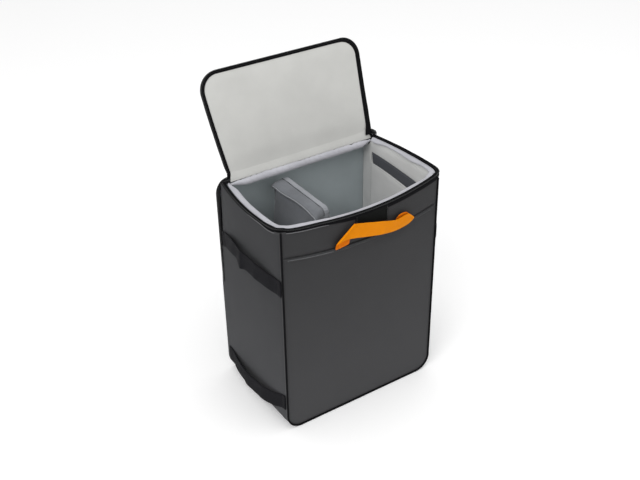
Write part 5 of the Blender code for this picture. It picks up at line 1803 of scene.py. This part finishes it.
gx, gy = np.meshgrid(np.linspace(-(HW - BASE_R), HW - BASE_R, 60), np.linspace(-91.0, 91.4, 40))
w = wave(np.stack([gx, gy, 0 * gx], 2), 50.0, 9.0).reshape(gx.shape)
e = np.minimum(gy + 91.0, 91.4 - gy)
gz = FLOOR_IN + 0.2 + crown(e, 1.0, 9.0) * 0.5 + 0.35 * w * smooth(2, 20, e) * smooth(0, 14, HW - BASE_R - np.abs(gx))
ob = shell("bottom_lining_cloth", np.stack([gx, gy, gz], 2), np.stack([gx, gy, 0 * gz + FLOOR_IN - 1.1], 2), M_LINING_BLUE_SHADED)
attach(ob, "box")
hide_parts("bottom_lining")

# ------------------------------------------------------------------ the shelf
SZ = 236.0
shelf = puffed("shelf_cushion", (-138.6, -88.8, SZ), (138.6, 90.4, SZ + 9.0), M_DIVIDER, shrink=1.2, cap=1.7,
               voxel=4.0, pressure=2.0)
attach(shelf, "shelf")
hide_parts("shelf_pad")
loop = []
for x0, y0, x1, y1 in ((-133, -83.5, 133, -83.5), (133, -83.5, 133, 85), (133, 85, -133, 85), (-133, 85, -133, -83.5)):
    for t in np.linspace(0, 1, 60)[:-1]:
        loop.append((x0 + (x1 - x0) * t, y0 + (y1 - y0) * t, SZ + 4))
pts, nrm = on_surface(shelf, loop, (0, 0, -1), 0.15)
st = sew("shelf_stitch", pts, nrm, M_THREAD_GREY, pitch=3.4)
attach(st, "shelf")

OFFT = SKIN + FOAM + LINING + 2 * GAP + 0.9


def tab_grid(sign, za, zb, ya, yb, off, slopes, n_y=60, n_z=22, skew=None, close=0.0):
    """Grid of a tab against a side lining; rows run up, columns along the depth."""
    ys = np.linspace(ya, yb, n_y)
    rows = []
    for t in np.linspace(0, 1, n_z):
        lo, hi = za - (yb - ys) * slopes[0], zb - (yb - ys) * slopes[1]
        z = lo + (hi - lo) * t
        bow = side_bow(sign, ys, z - 20.0 * (1 - close))
        rows.append(np.stack([sign * (HW - off + bow), ys, z], 1))
    return np.array(rows)


def tab(name, node, sign, za, zb, ya, yb, off, thick, slopes, mat, ripple=0.3, rim=0.0, slant=0.0):
    g = tab_grid(sign, za, zb, ya, yb, off + thick, slopes)
    gi = tab_grid(sign, za, zb, ya, yb, off, slopes)
    if slant:
        k_ = np.linspace(1, 0, g.shape[0])[:, None] * smooth(0.7, 1.0, np.linspace(0, 1, g.shape[1]))[None, :]
        g[:, :, 1] -= slant * k_
        gi[:, :, 1] -= slant * k_
    nz, ny = g.shape[:2]
    e = np.minimum(np.minimum(g[:, :, 1] - ya, yb - g[:, :, 1]),
                   np.minimum(g[:, :, 2] - g[0, :, 2][None], g[-1, :, 2][None] - g[:, :, 2]))
    w = wave(g, 26.0, off).reshape(e.shape)
    g[:, :, 0] -= sign * (crown(e, 0.5 + rim, 1.2) - 0.5 + ripple * w * smooth(0, 8, e))
    gi[:, :, 0] += sign * 0.0
    ob = shell(name, g, gi, mat)
    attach(ob, "shelf")
    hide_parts(node)
    # stitched hem a little in from the edge
    inset = 2.4
    ys = np.linspace(ya + inset, yb - inset, 50)
    k = lambda y, t: (np.interp(y, [ya, yb], [za - (yb - ya) * slopes[0], za]) * (1 - t)
                      + np.interp(y, [ya, yb], [zb - (yb - ya) * slopes[1], zb]) * t)
    line = [(0, y, k(y, 1) - inset) for y in ys] + [(0, yb - inset, z) for z in np.linspace(zb - inset, za + inset, 12)[1:]]
    line += [(0, y, k(y, 0) + inset) for y in ys[::-1][1:]] + [(0, ya + inset, z) for z in np.linspace(k(ya, 0) + inset, k(ya, 1) - inset, 12)[1:]]
    line = np.array(line)
    line[:, 0] = sign * 60.0
    pts, nrm = on_surface(ob, line, (sign, 0, 0), 0.12, reach=20.0)
    st = sew(name + "_stitch", pts, nrm, M_THREAD_GREY if mat is not M_LINING_WALL_LIT else M_THREAD_LIGHT, pitch=3.0, r=0.24)
    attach(st, "shelf")
    return ob


tab("shelf_tab_left_cloth", "shelf_tab_left", -1.0, SZ + 9.3, SZ + 35.0, -60.0, 66.0, OFFT + 0.5, 1.6, (0, 0), M_DIVIDER)
tab("shelf_upstand_cloth", "shelf_upstand_right", 1.0, SZ + 9.3, 352.6, -52.0, 65.0, OFFT + 0.9, 2.4, (0.0, 0.11), M_LINING_WALL_LIT,
    rim=0.5)
tab("shelf_hook_tab_cloth", "shelf_hook_tab", 1.0, 350.6, 371.2, -52.0, 63.0, OFFT + 1.3, 1.4, (0.11, 0.09), M_HOOK,
    slant=5.0)
path = [(66.5 - 1.2 * t_, 371.5 - 19.0 * t_) for t_ in np.linspace(0, 1, 14)]
path += [(y, 350.2 - (63.0 - y) * 0.11 - 0.6) for y in np.linspace(62.0, -50.0, 80)]
path = np.array(path)
for _ in range(2):
    path[1:-1] = 0.25 * path[:-2] + 0.5 * path[1:-1] + 0.25 * path[2:]
px_ = HW - OFFT - 2.0 + side_bow(1.0, path[:, 0], path[:, 1] - 20.0)
u = np.linspace(0, 1, len(path))
fold = tube("shelf_upstand_fold", np.stack([px_, path[:, 0], path[:, 1]], 1), 0.95 * np.sqrt(np.clip(1 - (2 * u - 1) ** 12, 0.02, 1)),
            M_LINING_WALL_LIT, n=8)
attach(fold, "shelf")

# ---------------------------------------------------------------- the divider
Z0 = SZ + 9.4
TOPZ = 372.0


def channel_hold(p):
    """Both pads are sewn together along their shared top edge."""
    near = np.exp(-(np.abs(p[:, 0] + 42.0) / 3.0) ** 2) * smooth(362.0, 370.0, p[:, 2])
    foot = 0.5 * np.exp(-(p[:, 2] - Z0) / 6.0)
    return np.clip(near + foot, 0, 1)


def left_shape(p):
    q = p.copy()
    up = smooth(300.0, 366.0, p[:, 2])
    # the pad's front end falls away under the cover, and its side follows the hem
    q[:, 1] += up * (1.0 + 13.5 * smooth(-66.0, -42.0, p[:, 0])) * smooth(-25.0, -66.0, p[:, 1])
    q[:, 1] -= up * (8.5 - 6.5 * smooth(-66.0, -42.0, p[:, 0])) * smooth(50.0, 75.0, p[:, 1])
    front = -60.0 + 19.0 * smooth(-66.0, -42.0, p[:, 0])
    t = np.clip((front - q[:, 1]) / 9.0, 0, 1)
    q[:, 2] -= up * 8.0 * t ** 2
    hx_ = np.interp(p[:, 1], [-74, -46.2, -21.1, -0.6, 32.3, 76.0], [-64.4, -61.9, -59.6, -60.4, -64.6, -64.2])
    q[:, 0] += up * (hx_ + 2.0 + 64.5) * smooth(-44, -60, p[:, 0])
    q[:, 2] -= smooth(360.0, 370.0, p[:, 2]) * 2.2
    return q


def right_shape(p):
    q = p.copy()
    up = smooth(330.0, 366.0, p[:, 2])
    q[:, 1] += up * 13.5 * smooth(-25.0, -66.0, p[:, 1])
    q[:, 1] -= up * 2.0 * smooth(50.0, 75.0, p[:, 1])
    t = np.clip((-41.5 - q[:, 1]) / 10.0, 0, 1)
    q[:, 2] -= up * 9.0 * t ** 2
    q[:, 2] -= smooth(360.0, 370.0, p[:, 2]) * 2.2
    return q


pad_l = puffed("divider_pad_left", (-64.5, -68.0, Z0), (-42.3, 75.4, TOPZ - 1.6), M_DIVIDER, shrink=1.8, cap=2.6, voxel=5.0,
               pressure=4.0, hold=channel_hold, shape=left_shape)
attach(pad_l, "divider")
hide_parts("divider_left_pad")
pad_r = puffed("divider_pad_right", (-41.7, -66.0, Z0), (-30.8, 75.4, TOPZ - 1.6), M_DIVIDER, shrink=1.3, cap=1.4, voxel=4.0,
               pressure=4.0, hold=channel_hold, shape=right_shape)
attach(pad_r, "divider")
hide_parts("divider_right_pad")

# cover cloth over both pads: level on top, dipping into the stitched channel,
# turned down along the outer edges and over the front end
HEM_Y = [-74, -68.6, -46.2, -21.1, -0.6, 15.1, 32.3, 56.0, 76.0]
HEM_X = [-65.2, -64.6, -61.9, -59.6, -60.0, -62.6, -65.0, -64.2, -64.0]
CH_X, RT_X = -40.0, -29.6


def hem_x(y):
    k = np.array([-8.0, -4.0, 0.0, 4.0, 8.0])
    return np.mean([np.interp(y + d_, HEM_Y, HEM_X) for d_ in k], axis=0)


def cover_grid(cross, ends, n_y=120, wobble=0.3, seed=0.0, ribbed=0.0):
    """cross: rows of (share from hem 0 to channel 1 to right edge 2, shift, drop)."""
    cross = spline(np.array(cross, float), 44)
    v = np.concatenate([np.linspace(76.0, 0, n_y)[:-1], np.linspace(0, -1, 22), np.linspace(-1.05, -2.4, 12)])
    g = []
    for c, shift, drop in cross:
        row = []
        for q in v:
            s_ = min(max(c, 0.0), 2.0)
            y_f = np.interp(s_, [0, 1, 2], ends[0])
            r_f = np.interp(s_, [0, 1, 2], ends[1])
            if q >= 0:
                y_b = np.interp(s_, [0, 1, 2], [66.5, 73.5, 74.5])
                y = y_f + q / 76.0 * (y_b - y_f)
                dz = 3.0 * max(0.0, (y - y_b + 9.0) / 9.0) ** 2
            else:
                a = min(-q, 1.0) * math.pi / 2
                y = y_f - r_f * math.sin(a)
                dz = r_f * (1 - math.cos(a)) + max(0.0, -q - 1.0) * 16.0
            hx_ = float(hem_x(np.array(max(y, -72.0))))
            x = hx_ + s_ * (CH_X - hx_) if s_ <= 1 else CH_X + (s_ - 1) * (RT_X - CH_X)
            row.append((x + shift, y - (0.35 * drop if q < 0 else 0.0) * 0, TOP_T - drop - dz))
        g.append(row)
    g = np.array(g)
    w = wave(g, 21.0, 5.0 + seed).reshape(g.shape[:2]) + 0.5 * wave(g, 8.0, 2.0 + seed).reshape(g.shape[:2])
    n = grid_normals(g)
    if n[len(g) // 2, 20, 2] < 0:
        n = -n
    g = g + n * (wobble * w)[:, :, None]
    if ribbed:
        g = g + n * (ribbed * np.sin(g[:, :, 1] * 2 * math.pi / 2.6))[:, :, None]
    return g, g - n * 1.5


TOP_T = 372.9
LEFT_CROSS = [(0.0, 0.6, 7.5), (0.0, -0.5, 5.0), (0.0, -0.7, 3.2), (0.0, 0.2, 1.9), (0.10, 0, 1.2), (0.30, 0, 0.35), (0.55, 0, 0.0),
              (0.80, 0, 0.1), (0.92, 0, 0.5), (0.985, 0, 1.5), (1.0, -0.1, 2.2)]
RIGHT_CROSS = [(1.0, 0.1, 2.2), (1.05, 0, 1.3), (1.18, 0, 0.3), (1.5, 0, 0.0), (1.82, 0, 0.5), (1.97, 0, 1.8),
               (2.0, 0.1, 3.4), (2.0, 0.0, 5.5), (2.0, -0.5, 8.0)]
ENDS = ((-62.0, -44.5, -43.0), (7.0, 9.0, 9.5))
for tag, cross, mat, wob_, rib_ in (("left", LEFT_CROSS, M_DIVIDER, 0.4, 0.0), ("right", RIGHT_CROSS, M_DIVIDER_LIGHT, 0.25, 0.26)):
    g, gi = cover_grid(cross, ENDS, wobble=wob_, seed=1.0 if tag == "left" else 4.0, ribbed=rib_)
    ob = shell("divider_cover_" + tag, g, gi, mat)
    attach(ob, "divider")
    n = grid_normals(g)
    n = np.where(n[:, :, 2:3] < 0, -n, n)
    if tag == "left":
        hem_row, hem_n = g[9], n[9]
        pick = [(36, "channel_left"), (11, "hem")]
    else:
        pick = [(6, "channel_right"), (32, "edge")]
    for idx, nm in pick:
        st = sew("divider_stitch_" + nm, g[idx][:-10], n[idx][:-10], M_THREAD, pitch=3.0, length=2.2, r=0.32, lift=0.05)
        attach(st, "divider")
cord = hem_row + hem_n * 0.35
u = np.linspace(0, 1, len(cord))
hem_cord = tube("divider_hem_left", cord, 0.85 * np.sqrt(np.clip(1 - (2 * u - 1) ** 12, 0.02, 1)), M_DIVIDER_LIGHT, n=8)
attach(hem_cord, "divider")
# dark cord in the bottom of the channel
cy_ = np.linspace(72.0, -43.0, 90)
cord = np.stack([0 * cy_ + CH_X, cy_, 0 * cy_ + TOP_T - 2.0], 1)
ch = tube("divider_channel_cord", cord, 0.55, M_THREAD, n=8)
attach(ch, "divider")


def hem(name, ob, pts_mm, direction, r=0.75):
    """A fine rolled seam laid on a pad."""
    pts, nrm = on_surface(ob, pts_mm, direction, 0.2)
    if len(pts) < 4:
        return
    h = tube(name, pts, r, M_DIVIDER_LIGHT, n=8)
    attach(h, "divider")


line = [(-68.0, -62.0, z) for z in np.linspace(352.0, 252.0, 60)]
hem("divider_hem_front", pad_l, line, (1, 0, 0))
line = [(-26.0, -60.0, z) for z in np.linspace(352.0, 252.0, 60)]
hem("divider_hem_front_right", pad_r, line, (-1, 0, 0))

# folded front tab and the hook tab behind
for name, node, ya, yb, mat, slot in (("divider_front_tab_cloth", "divider_front_tab", -87.6, -66.0, M_DIVIDER, "divider_fabric"),
                                      ("divider_rear_tab_cloth", "divider_rear_tab", 74.0, 89.6, M_HOOK, "hook_tape")):
    yy = np.linspace(ya, yb, 18)
    zz = np.linspace(Z0 + 4, TOPZ - 16.0, 60)
    gy, gz = np.meshgrid(yy, zz)
    e = np.minimum(np.minimum(gy - ya, yb - gy), np.minimum(gz - zz[0], zz[-1] - gz))
    w = wave(np.stack([0 * gy, gy, gz], 2), 30.0, 3.0).reshape(gy.shape)
    thick = 1.5 + crown(e, 1.1, 2.0)
    xm = -44.0 + 0.8 * w
    ob = shell(name, np.stack([xm - thick, gy, gz], 2), np.stack([xm + thick, gy, gz], 2), mat)
    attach(ob, "divider")
    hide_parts(node)
    st_pts = np.array([(-60.0, y, z) for y, z in [(ya + 2.2, z) for z in np.linspace(zz[0] + 3, zz[-1] - 3, 50)]])
    pts, nrm = on_surface(ob, st_pts, (1, 0, 0), 0.12, reach=30.0)
    st = sew(name + "_stitch", pts, nrm, M_THREAD_GREY, pitch=3.0)
    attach(st, "divider")

# ------------------------------------------------------------ lower divider
ZB = FLOOR_IN + 0.4
low_pad = puffed("lower_divider_pad", (14.0, -76.0, ZB), (26.0, 78.0, 212.0), M_DIVIDER, shrink=1.4, cap=2.4, voxel=5.0)
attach(low_pad, "lower_partition")
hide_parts("lower_divider")
for tag, x, dx in (("left", 10.0, 1), ("right", 30.0, -1)):
    line = []
    for y0, z0, y1, z1 in ((-70, 22, -70, 205), (-70, 205, 72, 205), (72, 205, 72, 22), (72, 22, -70, 22)):
        for t in np.linspace(0, 1, 50)[:-1]:
            line.append((x, y0 + (y1 - y0) * t, z0 + (z1 - z0) * t))
    pts, nrm = on_surface(low_pad, line, (dx, 0, 0), 0.12, reach=10.0)
    st = sew("lower_divider_stitch_" + tag, pts, nrm, M_THREAD_GREY, pitch=3.4)
    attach(st, "lower_partition")
for name, node, ya, yb in (("lower_divider_front_tab_cloth", "lower_divider_front_tab", -88.3, -74.0),
                           ("lower_divider_rear_tab_cloth", "lower_divider_rear_tab", 76.0, 90.2)):
    yy, zz = np.linspace(ya, yb, 14), np.linspace(ZB + 6, 206.0, 60)
    gy, gz = np.meshgrid(yy, zz)
    e = np.minimum(np.minimum(gy - ya, yb - gy), np.minimum(gz - zz[0], zz[-1] - gz))
    w = wave(np.stack([0 * gy + 9, gy, gz], 2), 30.0, 3.0).reshape(gy.shape)
    thick = 1.3 + crown(e, 1.0, 2.0)
    xm = 20.0 + 0.6 * w
    ob = shell(name, np.stack([xm - thick, gy, gz], 2), np.stack([xm + thick, gy, gz], 2), M_HOOK)
    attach(ob, "lower_partition")
    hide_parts(node)


# ------------------------------------------------------------------- sliders
def lozenge(name, c, ax, sd, up, length, width, w0, w1, r, mat, taper=0.0, power=3.0, n=44):
    """Rounded plate: a superellipse in the plane of ax and sd, from w0 to w1 along up."""
    c, ax, sd, up = (np.asarray(q, float) for q in (c, ax, sd, up))
    a = np.linspace(0, 2 * math.pi, n, endpoint=False)
    cu = np.sign(np.cos(a)) * np.abs(np.cos(a)) ** (2 / power)
    cv = np.sign(np.sin(a)) * np.abs(np.sin(a)) ** (2 / power)
    half_l, half_w = length / 2, width / 2
    rings = []
    prof_ = [(r * (1 - math.sin(t)), w0 + r * (1 - math.cos(t))) for t in np.linspace(0.12, math.pi / 2, 6)]
    prof_ += [(r * (1 - math.cos(t)), w1 - r * (1 - math.sin(t))) for t in np.linspace(0, math.pi / 2 - 0.12, 6)]
    prof_ = [(min(half_w, half_l) * 0.6, w0)] + prof_ + [(min(half_w, half_l) * 0.6, w1)]
    for inset, w_ in prof_:
        u_, v_ = cu * (half_l - inset), cv * (half_w - inset) * (1 - taper * (cu * 0.5 + 0.5))
        rings.append(c + ax * u_[:, None] + sd * v_[:, None] + up * w_)
    return loft(name, rings_as_path(rings), mat)


def rings_as_path(rings):
    return np.array(rings)


def slider(name, node, body, c, ax, sd, up, length, width, h):
    """Zip slider: two plates, a neck between them and a bridge over the top."""
    c, ax, sd, up = (np.asarray(q, float) for q in (c, ax, sd, up))
    parts = [lozenge(name + "_low", c, ax, sd, up, length, width, 0.0, 1.7, 0.6, M_METAL, taper=0.22),
             lozenge(name + "_top", c, ax, sd, up, length * 0.96, width * 0.92, h * 0.50, h * 0.50 + 2.2, 0.9, M_METAL, taper=0.22),
             lozenge(name + "_neck", c + ax * length * 0.2, ax, sd, up, length * 0.34, width * 0.3, 1.0, h * 0.62, 0.3, M_METAL)]
    t = np.linspace(0, math.pi, 26)
    arch = [c + ax * (0.34 * length * math.cos(q)) + up * (h * 0.5 + 1.6 + (h * 0.5 - 2.2) * math.sin(q) ** 0.7) for q in t]
    parts.append(tube(name + "_bridge", arch, 1.0, M_METAL, n=10, up=tuple(sd), squash=1.5))
    # side walls that fold round the coil
    for k in (-1, 1):
        wall = [c + ax * q + sd * k * (width * 0.47 * (1 - 0.22 * (q / length + 0.5))) + up * h * 0.27
                for q in np.linspace(-length * 0.38, length * 0.38, 14)]
        parts.append(tube(name + f"_side{k + 1}", wall, 0.6, M_METAL, n=8))
    ob = join(name, parts)
    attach(ob, body)
    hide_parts(node)
    return ob


def zip_pull(name, node, body, pivot, down, across, out, length, width, loop=8.0):
    """A wire loop through the slider's eye and a moulded grip with ribs."""
    pivot, down, across, out = (np.asarray(q, float) for q in (pivot, down, across, out))
    w_ = width * 0.34
    pts = [(-w_ * 0.8, loop), (-w_ * 0.95, loop * 0.55), (-w_, 1.2), (-w_ * 0.72, 0.2), (0, -0.05), (w_ * 0.72, 0.2), (w_, 1.2),
           (w_ * 0.95, loop * 0.55), (w_ * 0.8, loop)]
    wire = spline(np.array(pts, float), 40)
    wire = pivot + across * wire[:, :1] + down * wire[:, 1:]
    parts = [tube(name + "_wire", wire, 0.72, M_METAL, n=8, up=tuple(out))]
    gl = length - loop + 1.5
    c = pivot + down * (loop - 1.5 + gl / 2)
    grip_ = lozenge(name + "_grip", c, down, across, out, gl, width, -1.0, 1.0, 0.7, M_PULL, taper=-0.0, power=3.6)
    ribs = []
    for i in range(6):
        q = c + down * (-gl * 0.18 + i * gl * 0.1)
        for k in (-1, 1):
            line_ = [q + across * s_ + out * k * 0.98 for s_ in np.linspace(-width * 0.32, width * 0.32, 8)]
            ribs.append(tube(name + f"_rib{i}{k + 1}", line_, 0.32, M_PULL, n=6))
    ob = join(name, parts)
    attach(ob, body)
    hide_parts(node)
    g_ = join(name + "_grip", [grip_] + ribs)
    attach(g_, body)


def eye(name, body, c, a1, a2, r=1.7, wire=0.6):
    c, a1, a2 = (np.asarray(q, float) for q in (c, a1, a2))
    t = np.linspace(0, 2 * math.pi, 28, endpoint=False)
    ring = c + np.cos(t)[:, None] * a1 * r + np.sin(t)[:, None] * a2 * r
    ob = tube(name, ring, wire, M_METAL, n=8, closed=True, up=tuple(np.cross(a1, a2)))
    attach(ob, body)


M_PULL = plain("pull_rubber", (0.010, 0.010, 0.011), rough=0.55, scratch=0.12)
d_ = np.array([0.0896, -0.99598, 0.0])
n_ = np.array([0.99598, 0.0896, 0.0])
slider("lid_slider_body", "lid_zip_slider", "lid_slider", (150.6, 79.5, 397.9), d_, n_, (0, 0, 1), 14.6, 9.0, 6.4)
eye("lid_slider_eye", "lid_slider", (155.9, 80.0, 399.0), (1, 0, 0), (0, 0, 1), r=1.6)
zip_pull("lid_pull_loop", "lid_zip_pull", "lid_pull", (156.9, 80.0, 399.0), (0, 0, -1), (0, 1, 0), (1, 0, 0), 27.8, 6.8)
slider("rear_slider_body", "rear_zip_slider", "rear_slider", (110.0, 96.6, 392.2), (1, 0, 0), (0, 1, 0), (0, 0, 1), 12.0, 8.0, 4.8)
eye("rear_slider_eye", "rear_slider", (110.0, 101.6, 395.0), (0, 1, 0), (0, 0, 1), r=1.5)
zip_pull("rear_pull_loop", "rear_zip_pull", "rear_pull", (110.0, 102.6, 395.0), (0, 0, -1), (1, 0, 0), (0, 1, 0), 26.8, 7.6)

# ------------------------------------------------------------------- finish
for n in NODES.values():
    if not n.data.materials:
        n.data.materials.append(M_FOAM)
bpy.context.view_layer.update()
